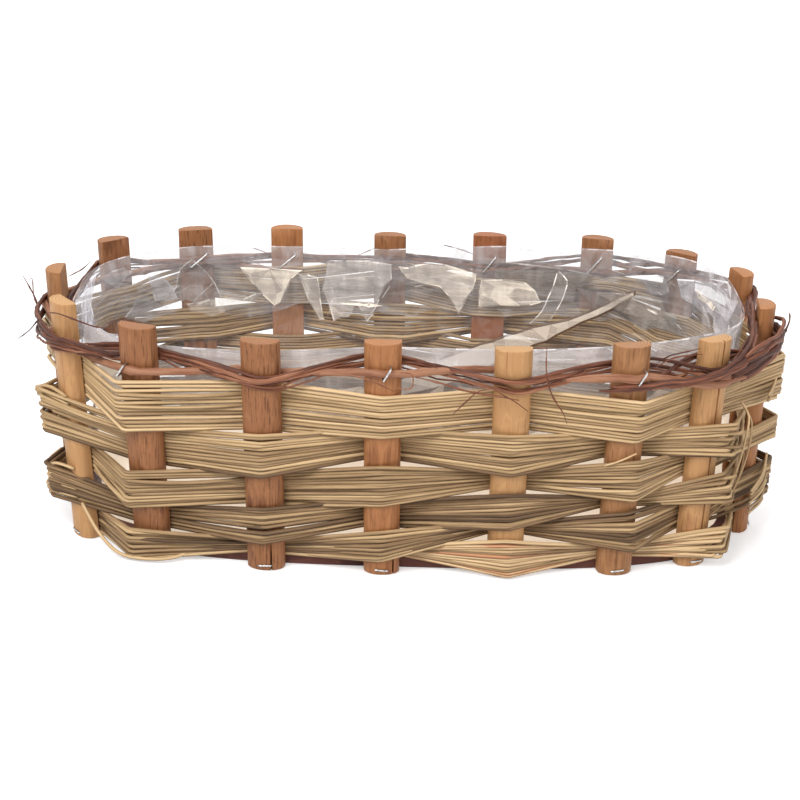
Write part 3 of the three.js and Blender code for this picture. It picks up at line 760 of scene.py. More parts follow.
# Stray straws
# A few straws have slipped out of the rows: loose loops round the left end, and cut ends that stand off
# below the second stake and behind the last ones.
# Each: radius in mm, tone, and stops as the place among the stakes, out of the wall and height in mm
STRAYS = (
    (0.95, 0.75, ((0.1, 5, 84), (16.97, 9, 88), (16.85, 11.5, 86), (16.6, 11, 79), (16.3, 8, 72),
                  (16.0, 5, 68))),
    (0.9, 0.5, ((0.12, 5, 80), (16.95, 10, 83), (16.8, 11.5, 80), (16.5, 10, 73), (16.1, 6, 67))),
    (0.9, 0.7, ((0.1, 5, 30), (16.95, 10, 31), (16.8, 11.5, 27), (16.55, 10.5, 21), (16.2, 7, 16))),
    (0.85, 0.5, ((0.1, 5, 25), (16.95, 10.5, 26), (16.75, 11, 21), (16.4, 8, 15))),
    (0.9, 0.8, ((0.1, 5, 42), (16.97, 10, 44), (16.8, 11, 39), (16.4, 8, 31), (16.1, 5, 28))),
    (0.95, 0.7, ((0.15, 4, 22), (0.45, 9, 12), (0.68, 11.5, 4.5), (0.85, 11.5, 2.4), (1.1, 9, 2.4),
                 (1.25, 4, 3), (1.42, -5, 6))),
    (0.6, 0.7, ((6.35, 1, 92), (6.37, 6, 84), (6.32, 8, 72), (6.26, 8, 55), (6.18, 7, 40), (6.1, 2, 32))),
    (0.6, 0.5, ((6.4, 1, 88), (6.42, 6, 80), (6.38, 8, 66), (6.3, 8, 50), (6.2, 6, 38), (6.12, 1, 30))),
    (0.6, 0.4, ((6.34, 1, 70), (6.36, 6, 64), (6.3, 8, 50), (6.2, 7, 38), (6.08, 2, 26))),
    (0.85, 0.8, ((6.6, 6, 34), (6.85, 8.5, 38), (7.08, 11, 44))),
    (0.85, 0.6, ((6.6, 6, 32), (6.85, 8.5, 35), (7.08, 11.5, 40))),
    (0.85, 0.5, ((6.6, 6, 30), (6.85, 9, 31), (7.06, 12, 35))),
    (0.85, 0.7, ((6.6, 6, 27), (6.85, 9, 27.5), (7.05, 12, 29))),
    (0.85, 0.4, ((6.6, 6, 24), (6.85, 9, 23), (7.03, 11.5, 24))),
    (0.85, 0.6, ((6.6, 6, 21), (6.85, 8.5, 19.5), (7.0, 11, 18.5))),
    (0.85, 0.7, ((6.7, 7, 89), (6.95, 9, 90), (7.1, 11, 94))),
    (0.85, 0.5, ((6.7, 7, 86), (7.0, 9.5, 87), (7.12, 11, 90))),
    (0.5, 0.9, ((4.8, 5.5, 67), (4.93, 6.5, 70), (5.08, 7, 74))),
    (1.0, 0.3, ((9.4, 0, 111), (10.0, -6.5, 112), (10.5, -1, 113.5), (11.05, 6.5, 114))),
    (1.0, 0.5, ((9.4, 0, 109), (10.0, -6.5, 110.5), (10.5, -1, 112), (11.05, 6.5, 112))),
    (1.0, 0.2, ((9.4, 0, 107.5), (10.0, -6.5, 108.5), (10.5, -1, 110), (11.05, 6.5, 110))),
    (1.0, 0.6, ((9.5, 0, 105.5), (10.0, -6.5, 107), (10.5, -1, 108.3), (11.05, 6.5, 108))),
    (1.0, 0.4, ((9.5, 0, 104), (10.0, -6.5, 105), (10.5, -1, 106.5), (11.0, 6.5, 106.5))),
    (1.0, 0.7, ((10.2, 4, 102.5), (10.5, 0, 104.5), (11.0, 6.5, 105))),
)


def wall_place(place):
    """Arc length of a place counted in stakes, and the share of the way to the next stake."""
    index = int(place) % STAKE_COUNT
    after = (index + 1) % STAKE_COUNT
    share = place - int(place)
    here = PERIMETER * FIRST_STAKE_SHARE + index * STAKE_PITCH + STAKES[index][0] * MM
    there = PERIMETER * FIRST_STAKE_SHARE + (index + 1) * STAKE_PITCH + STAKES[after][0] * MM
    return here + (there - here) * share, index, after, share


def on_wall(place, z):
    """A place and a height in mm as a point of the unrolled wall."""
    return Vector((wall_place(place)[0], z * MM))


def wall_points(stops):
    return [Station(wall_place(place)[0]).place(0, out * MM, z * MM) for place, out, z in stops]


def curve_through(points, per):
    """A smooth line through points."""
    made = []
    for i in range(len(points) - 1):
        a, b = points[i], points[i + 1]
        before = points[i - 1] if i else a
        after = points[i + 2] if i + 2 < len(points) else b
        leave, arrive = (b - before) * 0.5, (after - a) * 0.5
        span = (b - a).length
        if leave.length > span:
            leave *= span / leave.length
        if arrive.length > span:
            arrive *= span / arrive.length
        steps = max(2, round(span / per))
        for k in range(steps):
            t = k / steps
            made.append(a * (2 * t ** 3 - 3 * t ** 2 + 1) + leave * (t ** 3 - 2 * t ** 2 + t)
                        + b * (3 * t ** 2 - 2 * t ** 3) + arrive * (t ** 3 - t ** 2))
    made.append(points[-1])
    return made


loose_straws = StemBuilder()
for radius, tone, stops in STRAYS:
    line = curve_through(wall_points(stops), 3 * MM)
    loose_straws.add(line, lambda i: radius * MM, STRAW_SIDES, tone, straw_rng.uniform(0, 5))
stray = loose_straws.piece("stray_straws", straw_finish)

# Rim vines
# Thin twigs of creeper with their bark on, wound in front of one stake and behind the next just under
# the stakes' tops. One is tan and about 4 mm thick; the others are red-brown, thinner, and lie in a
# loose bundle that goes the other way round each stake.
# Heights in mm at each stake from the left front: where the bundle's middle lies, and the thick vine's
BUNDLE_HEIGHTS = (112.5, 115.5, 110.5, 120, 113, 118, 113.5, 119, 122, 122, 119, 115, 115, 113, 114.5,
                  115.5, 113)
THICK_HEIGHTS = (106.5, 110.5, 112, 118, 117, 116.5, 116, 115, 119, 118.5, 115.5, 111.5, 111.5, 109.5, 111,
                 112, 114)
BUNDLE_START = 12
VINE_SEAT = 0.4 * MM


def vine_stops(index, outside, height, seat, slope=0.0):
    """Where a vine passes a stake, in front of it or behind it."""
    at = stations[index % STAKE_COUNT]
    half = stake_width(index) / 2
    if outside:
        out = STAKE_DEPTH / 2 + seat
        return [at.place(-0.8 * half, out - 2.2 * MM, height - slope * half),
                at.place(0, out + 0.2 * MM, height),
                at.place(0.8 * half, out - 2.2 * MM, height + slope * half)]
    out = -STAKE_DEPTH / 2 - seat
    return [at.place(-half, out, height - slope * half), at.place(half, out, height + slope * half)]


def bark_look(name, dark, middle, light):
    """Thin bark: streaked along the vine and blotched."""
    look = Look(name)
    stem = look.stored("stem", "Vector")
    streak = look.noise(look.stretch(stem, (60, 1.6, 1.6)), 1.0, 5, 0.65)
    patch = look.noise(look.stretch(stem, (22, 0.5, 0.5)), 1.0, 3)
    total = look.math("MULTIPLY_ADD", patch, 0.5,
                      look.math("MULTIPLY_ADD", streak, 0.9, look.stored("tone")))
    colour = look.ramp(look.between(total, 0.5, 0.95), [(0.1, *dark), (0.5, *middle), (0.9, *light)])
    return look.finish(colour, 0.55, 0.35, streak, 0.6, 0.3)


BUD_REACH = 1.5 * MM


def knotty(points, radius, rng, gap, swell, taper):
    """A radius for each point: thicker at the buds, and thinner toward the ends."""
    runs_to = [0.0]
    for a, b in zip(points, points[1:]):
        runs_to.append(runs_to[-1] + (b - a).length)
    buds, at = [], rng.uniform(0.2, 1) * gap
    while at < runs_to[-1]:
        buds.append(at)
        at += gap * rng.uniform(0.7, 1.5)
    made = []
    for run in runs_to:
        near = min([abs(run - bud) for bud in buds] or [1])
        size = radius * (1 + swell * math.exp(-(near / BUD_REACH) ** 2))
        size *= 1 + 0.08 * noise.noise(Vector((run * 90, radius * 3000, 0)))
        made.append(size * min(1, 0.35 + min(run, runs_to[-1] - run) / taper))
    return made


def add_vine(stems, stops, radius, rng, tone, sides=9, per=4 * MM, taper=12 * MM, swell=0.28, gap=30 * MM,
             sway=0.9):
    """One vine through its stops, swaying a little, with small buds."""
    points = curve_through(stops, per)
    start = rng.uniform(0, 50)
    for i, p in enumerate(points):
        side = [noise.noise(Vector((start, i * 0.2, seed))) * 0.3 for seed in (3, 7)]
        rise = noise.noise(Vector((start, i * 0.13, 0))) + 0.4 * noise.noise(Vector((start, i * 0.5, 5)))
        p += Vector((*side, rise)) * sway * MM
    sizes = knotty(points, radius, rng, gap, swell, taper)
    stems.add(points, lambda i: sizes[i], sides, tone, rng.uniform(0, 5))


THICK_RADIUS = 2 * MM
vine_rng = random.Random(21)
tan_bark = bark_look("tan_bark", (0.104, 0.036, 0.018), (0.248, 0.096, 0.048), (0.368, 0.173, 0.095))
red_bark = bark_look("red_brown_bark", (0.056, 0.016, 0.008), (0.196, 0.062, 0.029), (0.376, 0.166, 0.088))

THICK_SEAT = THICK_RADIUS + VINE_SEAT


def thick_stops(first, last, parity):
    """The thick vine's way past some stakes: outside on the even ones (0) or on the odd ones (1)."""
    made = []
    for index in range(first, last):
        height = THICK_HEIGHTS[index % STAKE_COUNT] * MM
        made += vine_stops(index, index % 2 == parity, height, THICK_SEAT)
    return made


# The thick vine is three lengths, each with its ends tucked in behind a stake
thick = StemBuilder()
add_vine(thick, thick_stops(13, 22, 0), THICK_RADIUS, vine_rng, 0.1, sides=12, gap=34 * MM)
stops = [stations[4].place(26 * MM, 5 * MM, 116 * MM)]
stops += vine_stops(5, True, 116.5 * MM, THICK_SEAT) + vine_stops(6, True, 109 * MM, THICK_SEAT)
stops += [stations[6].place(17 * MM, 6 * MM, 110 * MM)]
add_vine(thick, stops, 2.3 * MM, vine_rng, 0.16, sides=12, taper=22 * MM, gap=34 * MM)
stops = [stations[6].place(-14 * MM, -9 * MM, 117 * MM)] + thick_stops(6, 13, 1)
add_vine(thick, stops, THICK_RADIUS, vine_rng, -0.05, sides=12, gap=34 * MM)
thick_vine = thick.piece("tan_vine_stems", tan_bark)
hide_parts("rim_vine_thick")

# The bundle's strands: the piece, radius in mm, tone, and the order in which they lie from the top
STRANDS = (
    ("upper", 0.9, -0.05), ("red", 1.15, 0.08), ("brown", 0.95, -0.1), ("lower", 0.85, 0.12),
    ("upper", 0.5, 0.0), ("red", 0.6, 0.05), ("lower", 0.5, -0.12),
)
STRAND_GAP = 0.95 * MM
MAIN_STRANDS = 4
SECOND_LAYER = 1.1 * MM
bundle_stems = {name: StemBuilder() for name in ("upper", "red", "brown", "lower")}
ranks = {}
order = list(range(len(STRANDS)))
for step in range(STAKE_COUNT + 1):
    for _ in range(2):
        swap = vine_rng.randrange(len(order) - 1)
        order[swap], order[swap + 1] = order[swap + 1], order[swap]
    for place, strand in enumerate(order):
        ranks[step, strand] = place
for strand, (name, radius, tone) in enumerate(STRANDS):
    stops = []
    begin, finish = 0, STAKE_COUNT + 1
    if strand >= MAIN_STRANDS:
        begin = vine_rng.randrange(0, 3)
        finish = STAKE_COUNT - vine_rng.randrange(0, 5)
    for step in range(begin, finish):
        index = (BUNDLE_START + step) % STAKE_COUNT
        outside = step % 2 == 1
        rank = ranks[step, strand]
        spread = STRAND_GAP * (len(STRANDS) - 1) / 2
        height = BUNDLE_HEIGHTS[index] * MM + spread - STRAND_GAP * rank + vine_rng.gauss(0, 0.6) * MM
        seat = radius * MM + VINE_SEAT + (SECOND_LAYER if rank % 2 else 0)
        seat += abs(vine_rng.gauss(0, 0.4)) * MM
        stops += vine_stops(index, outside, height, seat, vine_rng.gauss(0, 0.04))
    add_vine(bundle_stems[name], stops, radius * MM, vine_rng, tone, sides=8, gap=22 * MM, swell=0.35,
             sway=1.2 if strand < MAIN_STRANDS else 2.8)
for name, stems in bundle_stems.items():
    vine = stems.piece(f"{name}_creeper_stems", red_bark)
    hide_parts(f"rim_vine_{name}")

# Heaped ends and side shoots
# At both ends of the basket the vines' ends are wound together in a heap, and fine shoots that nobody
# trimmed stand off the rim.

# Each vine: radius in mm, tone, and stops as place, out and height in mm. Most stops are points read
# off the photograph and worked out beforehand as places on the wall.
RIGHT_HEAP = (
    (1.7, -0.12, ((4.8, 7, 113), (5.15, 8, 113.5), (5.6, 9, 114), (5.85, 10, 116), (6.1, 9, 119),
                  (6.3, 4, 122), (6.55, -3, 125), (6.85, -6.5, 126), (7.2, -7, 124), (7.6, -3, 122),
                  (8.0, 7.5, 118))),
    (1.2, -0.05, ((4.7, 7, 111), (5.05, 8, 112), (5.5, 9, 112), (5.8, 10.5, 114), (6.05, 10, 116),
                  (6.2, 8, 119), (6.4, 2, 123), (6.7, -4.5, 125), (7.1, -7, 123), (7.5, -4, 122),
                  (8.0, 7, 121))),
    (0.8, 0.05, ((5.25, 3, 115), (5.4, 0, 117.5), (5.65, -4, 119.5), (5.9, -6.5, 120.5), (6.1, -7, 121),
                 (6.4, 0, 119))),
    (0.9, -0.1, ((5.05, 6, 115), (5.35, 2, 117.5), (5.6, -3, 120.5), (5.9, -6.5, 122.5), (6.1, -7, 122),
                 (6.4, -1, 118))),
    (0.7, 0.1, ((5.15, 6, 113.5), (5.45, 4, 115), (5.75, -3, 116), (5.9, -6, 117.5), (6.1, -6.5, 118),
                (6.35, 2, 114))),
    (1.1, -0.1, ((5.4, 8, 113), (5.7, 10, 116.5), (5.95, 11, 119), (6.2, 6, 123), (6.4, 0, 126),
                 (6.6, -5, 128), (7.0, -7, 129), (7.4, -4, 126), (7.8, 2, 120), (8.05, 8, 117))),
    (1.5, -0.1, ((6.05, 6, 114), (6.2, 8, 119), (6.4, 9, 122), (6.7, 9, 122), (7.0, 8.5, 120.5),
                 (7.3, 6, 118), (7.6, 3, 116))),
    (1.2, -0.05, ((6.1, 6, 111), (6.3, 8, 117), (6.55, 9, 119.5), (6.85, 9, 119), (7.1, 8, 117.5),
                  (7.5, 4, 116))),
    (1.1, 0.0, ((6.15, 6, 121), (6.3, 8, 125), (6.5, 9, 127), (6.8, 9, 126.5), (7.05, 8.5, 125),
                (7.3, 5, 121))),
    (1.3, -0.15, ((6.1, 7, 112), (6.35, 8.5, 118.5), (6.6, 9.5, 120.5), (6.95, 8, 118.5), (7.2, 7, 117.5),
                  (7.6, 3, 114))),
    (1.4, -0.1, ((6.2, 4, 108), (6.3, 7, 112), (6.5, 8.5, 116.5), (6.8, 9, 118), (7.0, 8.5, 116.5),
                 (7.3, 6, 114))),
    (1.0, 0.05, ((6.25, 4, 106), (6.5, 7.5, 111.5), (6.75, 8.5, 114), (7.05, 8.5, 115), (7.4, 4, 114))),
)
LEFT_HEAP = (
    (1.2, -0.1, ((15.8, 3, 120), (16.0, 7, 117), (16.5, 7, 119), (16.92, 7.5, 121), (0.12, 8, 119.5),
                 (0.4, 7, 118), (0.65, 2, 116), (0.95, -7, 114), (1.3, -6, 115))),
    (0.8, 0.0, ((16.3, 7, 112), (16.89, 8, 116), (0.11, 8.5, 116), (0.45, 7, 116), (0.71, 0, 113),
                (1.0, -7, 111))),
    (1.0, -0.15, ((15.9, 6, 112), (16.2, 7.5, 109), (16.6, 7.5, 111), (16.95, 8, 115), (0.2, 8.5, 116),
                  (0.5, 5, 115), (0.8, -4, 114), (1.1, -7, 115.5))),
    (0.6, 0.05, ((16.1, 7, 104), (16.5, 8, 106), (16.9, 8.5, 112), (0.1, 9, 114), (0.4, 8, 115),
                 (0.6, 4, 116))),
    (1.2, -0.2, ((15.7, 4, 114), (16.0, 6.5, 112), (16.4, 7, 113), (16.9, 7.5, 117), (0.05, 8, 117.5),
                 (0.3, 7, 116.5), (0.5, 4, 115))),
)
SHOOTS = {
    "left": (
        (0.5, -0.1, ((15.87, 20, 125.5), (15.95, 14, 117), (16.0, 11, 110), (16.05, 9, 104))),
        (0.42, 0.0, ((15.95, 16, 125), (15.93, 14, 125.5), (16.07, 12, 118.5), (16.05, 11, 112),
                     (16.1, 9, 106))),
        (0.45, -0.15, ((16.89, 22, 116), (16.9, 15, 120), (16.9, 9.5, 124.5), (0.0, 8, 123))),
    ),
    "end": (
        (0.5, -0.1, ((6.18, 6, 110.5), (6.45, 0, 121.5), (6.85, -6.5, 122), (7.5, -2, 119.5),
                     (8.17, 6, 118))),
        (0.8, -0.1, ((6.8, 9, 120), (7.0, 12, 121), (7.05, 13.5, 124), (7.05, 13, 128))),
    ),
    "right": (
        (0.4, 0.0, ((4.25, 5, 134), (4.25, 9, 121), (4.3, 10, 110), (4.4, 10, 100), (4.44, 9.5, 93))),
        (0.4, 0.0, ((4.14, 5, 133.5), (4.19, 5, 133.8), (4.25, 5, 133))),
        (0.4, 0.1, ((4.55, 5, 118), (4.59, 4, 121), (4.82, 0, 121.5))),
    ),
    "front": (
        (0.45, -0.1, ((0.03, 8, 131), (0.18, 7, 132.5), (0.32, 5, 131.5), (0.5, 0, 128), (0.68, -6, 126.5))),
        (0.5, 0.1, ((3.13, 9, 120), (3.21, 10, 120), (3.23, 10, 116), (3.21, 10, 111.5), (3.09, 9, 112))),
        (0.5, 0.05, ((2.7, 8, 118), (2.86, 9.5, 116), (2.98, 10, 113.5), (3.09, 9.5, 110))),
        (0.5, -0.1, ((3.13, 0, 121.5), (3.34, 3, 123.5), (3.41, 4, 121))),
        (0.5, 0.0, ((3.21, 3, 116), (3.44, 6, 113.5), (3.67, 8, 110), (4.04, 9.5, 106.5))),
        (0.45, 0.0, ((3.53, 11, 98), (3.65, 10.5, 107), (3.73, 9, 111), (3.83, 8, 112))),
        (0.45, 0.0, ((3.8, 6, 112.5), (3.9, 9, 109.5), (4.0, 10.5, 106), (4.11, 10.5, 101))),
        (0.5, 0.0, ((5.26, 0, 119.5), (5.46, 2, 125), (5.81, 0, 125))),
        (0.45, -0.1, ((5.33, -4, 120.5), (5.42, 0, 125.5), (5.78, 0, 128))),
        (0.5, -0.1, ((11.46, 10, 122), (11.31, 8, 120.5), (11.16, 6, 118.5))),
        (0.45, 0.0, ((12.31, 6, 115.5), (12.15, 6, 120))),
        (0.5, 0.0, ((15.38, 9, 114), (15.22, 9, 115.5), (15.11, 10, 118))),
        (0.45, 0.0, ((13.37, 6, 119), (13.18, 6, 115))),
    ),
}

for name, heap in (("right", RIGHT_HEAP), ("left", LEFT_HEAP)):
    stems = StemBuilder()
    for radius, tone, stops in heap:
        add_vine(stems, wall_points(stops), radius * MM, vine_rng, tone, sides=9, per=3 * MM, gap=20 * MM,
                 swell=0.3, sway=2.0)
    heaped = stems.piece(f"{name}_creeper_heap", red_bark)
for name, shoots in SHOOTS.items():
    stems = StemBuilder()
    for radius, tone, stops in shoots:
        add_vine(stems, wall_points(stops), radius * MM, vine_rng, tone, sides=7, per=2 * MM, gap=9 * MM,
                 swell=0.6, taper=25 * MM, sway=0.5)
    shoot = stems.piece(f"{name}_side_shoots", red_bark)
    if name != "front":
        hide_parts(f"side_shoot_{name}")

# Film liner
# A bag of thin clear film pushed down into the basket, turned down as a cuff inside the rim and stapled
# to the stakes. It never lay smooth: it is crumpled into flat facets, milky where it is creased or
# doubled, and its edge runs straight from staple to staple. Part of that milkiness is painted light:
# the film glows a little, bright lines are painted highlights, and some patches are painted shade.
FILM_OUT = -12.3 * MM
FILM_SKIN = 0.2 * MM
FILM_FLOOR = 7.2 * MM
FILM_GRAIN = 8 * MM
CUFF_GRAIN = 11 * MM
CUFF_OUT = 0.7 * MM
CUFF_LOW = 88
TOP_BAND = 30 * MM
DEEP_BELOW = 84 * MM
FLOOR_MARGIN = 24 * MM
FLOOR_TRIES = 900
FLOOR_MILK = 0.14
FACETED_HEIGHT = 118 * MM
SHADE_BAND_BELOW = 100 * MM
CORNER_SHADE_BAND_BELOW = 106 * MM
# The middles of both ends as places among the stakes, and how far each end reaches
LEFT_END, LEFT_REACH = 16.3, 0.7
RIGHT_END, RIGHT_REACH = 7.7, 0.8
# Heights of the film's edge in mm at each stake from the left front
FILM_EDGE = (121, 119, 121, 126, 126, 128, 130, 129, 132, 133, 131, 129, 125, 125.5, 126.5, 124.5, 122)
# Liner staples: node, place among the stakes, height in mm (none keeps the node's), slope in degrees
LINER_STAPLES = (
    ("liner_staple_03", 2.0, None, 35), ("liner_staple_05", 4.0, None, 50),
    ("liner_staple_07", 6.0, None, 40), ("liner_staple_10", 9.0, 120, 52),
    ("liner_staple_11", 10.0, 121, 52), ("liner_staple_12", 11.0, 117.6, 52),
    ("liner_staple_14", 13.0, 116.5, 40), ("liner_staple_15", 14.0, 118, 38),
)
# The two sides of a fold that stands up like a leaf, as the place among the stakes and height in mm
LEAF_LEFT = ((10.6, 84), (10.49, 92), (10.44, 100), (10.39, 108))
LEAF_RIGHT = ((10.34, 117), (10.26, 112), (10.27, 106), (10.31, 98), (10.38, 90), (10.42, 86))
# Folds where the film is doubled or pulled: how milky, how warm (past 1, how deep in painted shade), and
# the corners, each as the place among the stakes and the height in mm, again from points read off the
# photograph
FOLDS = (
    (0.56, 1.0, ((13.54, 114), (12.85, 112), (12.96, 107), (13.08, 92), (13.15, 90), (13.39, 103))),
    (0.5, 0.8, ((12.9, 110), (12.7, 82), (12.64, 82), (12.7, 108))),
    (0.46, 0.6, ((12.62, 118), (12.2, 119), (11.98, 117), (11.98, 108), (12.1, 95), (12.22, 81),
                 (12.32, 92), (12.4, 84), (12.55, 81), (12.66, 100))),
    (0.54, 0.9, ((11.92, 116), (11.75, 117), (11.45, 118), (11.12, 113), (11.14, 108), (11.22, 98),
                 (11.3, 87), (11.42, 99), (11.5, 104), (11.83, 108))),
    (0.58, 1.0, ((11.08, 110), (10.66, 109), (10.56, 104), (10.5, 97), (10.7, 94), (11.1, 92))),
    # The long strip is a doubled fold in painted shade, with a rim of darker painted shade.
    (0.78, 2.0, ((9.47, 110), (9.46, 106), (9.74, 96), (10.09, 86), (10.33, 77), (10.54, 70), (11.2, 47),
                 (11.9, 34), (12.3, 36), (11.9, 46), (11.4, 62), (11.08, 70), (10.83, 76), (10.58, 82),
                 (10.24, 88), (9.87, 99), (9.53, 109))),
    (0.26, 0.7, LEAF_LEFT + LEAF_RIGHT),
    (0.3, 0.3, ((9.5, 118), (9.1, 122), (9.0, 112), (9.25, 108))),
    (0.26, 0.9, ((9.61, 98), (9.46, 102), (9.19, 103), (8.85, 98), (8.71, 88), (9.03, 88), (9.33, 90))),
    (0.62, 1.0, ((8.53, 118), (8.22, 116), (7.98, 114), (8.05, 110), (8.47, 113))),
    (0.5, 0.2, ((8.9, 121), (8.3, 125), (8.0, 127), (7.6, 126), (7.3, 124), (7.35, 104), (7.6, 96),
                (7.9, 104), (8.1, 110), (8.4, 106), (8.8, 110))),
    # The next two stand for no fold: they are sheets of painted shade that dim gaps between the rows at the
    # back.
    (0.55, 2.3, ((9.96, 106), (9.5, 107), (9.1, 106), (8.98, 97), (9.2, 93), (9.6, 95), (9.96, 98))),
    (0.4, 2.3, ((10.95, 116), (10.5, 117), (10.05, 117), (10.05, 108), (10.5, 105), (10.95, 106))),
    (0.42, 0.3, ((14.7, 112), (14.5, 111), (14.35, 103), (14.3, 96), (14.62, 97))),
    (0.4, 1.0, ((14.2, 93), (13.9, 95), (13.5, 95), (13.25, 99), (13.5, 89), (13.9, 84), (14.15, 88))),
    (0.62, 0.0, ((16.2, 121), (15.55, 123), (15.65, 117), (15.82, 109), (15.72, 96), (16.1, 98), (16.3, 104),
                 (16.35, 112))),
    (0.6, 0.0, ((-0.03, 121), (0.2, 120), (0.57, 119), (0.55, 113), (0.17, 109), (-0.25, 107), (-0.4, 112))),
    (0.36, 0.3, ((15.45, 118), (15.05, 120), (14.9, 116), (15.15, 108))),
    (0.3, 0.4, ((14.9, 100), (14.6, 96), (14.3, 88), (14.8, 84), (15.1, 90))),
    (0.9, 0.6, ((9.3, 100), (9.16, 99), (9.14, 97), (9.26, 98))),
    (0.85, 0.9, ((12.5, 92.5), (12.28, 92.5), (12.1, 91.5), (12.3, 91))),
)
# Sharp creases, drawn as bright milky ribbons that are painted highlights: stops as the place among the
# stakes and the height in mm
CREASES = (
    ((14.08, 119), (13.94, 112), (13.84, 105), (13.76, 95)), ((14.17, 92), (13.86, 105)),
    ((14.1, 120), (14.27, 114), (14.32, 104), (14.41, 99), (14.18, 103)),
    ((15.6, 119), (15.2, 112), (14.9, 109)),
    ((13.45, 118), (13.05, 112), (12.8, 109)), ((12.98, 118), (13.1, 100), (13.12, 91)),
    ((12.68, 115), (12.55, 98), (12.62, 83)), ((12.0, 104), (12.12, 92), (12.24, 82)),
    ((11.9, 113), (11.6, 110), (11.3, 112)), ((11.75, 104), (11.5, 107), (11.2, 105)),
    ((10.9, 121), (10.2, 118), (9.7, 113)), ((9.9, 122), (9.4, 116), (9.1, 110)),
    ((9.2, 121), (8.9, 117), (8.7, 110)),
    ((8.6, 116), (8.3, 110), (8.0, 100)), ((16.4, 118), (15.95, 108), (15.75, 97)),
    ((16.1, 119), (15.85, 103)),
    ((0.6, 119), (0.1, 116), (-0.3, 114)), ((8.9, 96), (8.7, 92), (8.55, 86)),
)


def film_edge(place):
    _, index, after, share = wall_place(place)
    return (FILM_EDGE[index] * (1 - share) + FILM_EDGE[after] * share) * MM


def film_look():
    """Clear film: glossy, a pale veil where it is smooth and milky where it is creased. It glows a little,
    more where it is milky: painted light for the daylight that a clear film lets through from behind.
    Past warm, its colour is darkened into painted shade."""
    look = Look("crumpled_clear_film")
    haze = look.stored("haze")
    warmth_and_shade = look.stored("tint_and_shade")
    sheet = look.stored("sheet", "Vector")
    creases = look.noise(look.stretch(sheet, (150, 22, 0), 0.5), 1.0, 3, 0.6)
    streaks = look.noise(look.stretch(sheet, (16, 260, 0), 0.06), 1.0, 3, 0.65)
    both = look.math("MULTIPLY", look.between(creases, 0.45, 0.75, 0.86, 1.35),
                     look.between(streaks, 0.42, 0.7, 0.84, 1.25))
    lines = look.add("Mix", {0: look.between(haze, 0.3, 0.48), 2: both, 3: 1.0}).outputs[0]
    alpha = look.add("Math", {0: haze, 1: lines}, operation="MULTIPLY", use_clamp=True).outputs[0]
    cool = look.ramp(alpha, [(0.05, 0.50, 0.50, 0.535), (0.3, 0.62, 0.61, 0.655),
                             (0.6, 0.93, 0.91, 0.95)])
    warm = look.ramp(alpha, [(0.05, 0.60, 0.53, 0.46), (0.3, 0.74, 0.66, 0.57), (0.5, 0.95, 0.86, 0.73)])
    shade = look.ramp(look.between(warmth_and_shade, 1, 3), [
        (0.0, 1, 1, 1), (0.5, 0.56, 0.54, 0.54), (0.7, 0.4, 0.38, 0.39), (1.0, 0.10, 0.06, 0.04)])
    colour = look.mix(1.0, look.mix(warmth_and_shade, cool, warm), shade, "MULTIPLY")
    through = look.between(haze, 0.15, 0.5, 0.45, 1.6)
    light = look.add("VectorMath", {0: colour, "Scale": through}, operation="SCALE").outputs[0]
    look.fill(look.bsdf, {"Emission Color": light, "Emission Strength": 0.34, "Alpha": alpha})
    return look.finish(colour, 0.25, 0.8, lines, 0.4, 0.4)


CLEAR_TINT = 0.25
film_rng = random.Random(5)
film_vertices, film_faces, film_milk, film_tint_and_shade, film_sheet = [], [], [], [], []


def film_vertex(place, out, z):
    return film_vertex_at(wall_place(place)[0], out, z)


def film_vertex_at(length, out, z):
    """Adds a corner of the film at an arc length; the film's own pattern follows length and height."""
    film_vertices.append(Station(length).place(0, out, z))
    film_sheet.append((length, z, 0))
    return len(film_vertices) - 1


def film_face(corners, milk, tint_and_shade=CLEAR_TINT):
    """One facet. Light passes both of its sides, so each side holds back half as much. Its colour goes
    from cool (0) over warm (1) to painted shade (2) and darker painted shade (3)."""
    film_faces.append(corners)
    film_tint_and_shade.append(tint_and_shade)
    film_milk.append(1 - math.sqrt(1 - max(0.0, min(0.97, milk))))


def part_of_wall(place):
    """How much a place belongs to the left end, the right end, and the front."""
    near_left = (place - LEFT_END + STAKE_COUNT / 2) % STAKE_COUNT - STAKE_COUNT / 2
    return (math.exp(-(near_left / LEFT_REACH) ** 2),
            math.exp(-((place - RIGHT_END) / RIGHT_REACH) ** 2),
            max(0.0, min(1.0, (place + 0.1) * 4, (7.0 - place) * 3)))


def near_staple(place):
    return min(abs(place - staple[1]) for staple in LINER_STAPLES) < 0.2


def wall_cut(columns, rows, margin):
    """The unrolled wall cut into facets: its corners, its faces, and the first column met again."""
    flat = [Vector((i / columns * STAKE_COUNT * 0.5, level)) for i in range(columns) for level in (0.0, 1.0)]
    for _ in range(columns * rows):
        place = film_rng.uniform(0.02, STAKE_COUNT - 0.15)
        flat.append(Vector((place * 0.5, film_rng.uniform(margin, 1 - margin))))
    flat += [Vector((STAKE_COUNT * 0.5, 0.0)), Vector((STAKE_COUNT * 0.5, 1.0))]
    cut = geometry.delaunay_2d_cdt(flat, [], [], 0, 1e-6)
    corners = [(p.x * 2, p.y) for p in cut[0]]
    seam = {level: next(v for v, c in enumerate(corners) if c[0] < 1e-4 and abs(c[1] - level) < 1e-4)
            for level in (0.0, 1.0)}
    return corners, cut[2], seam


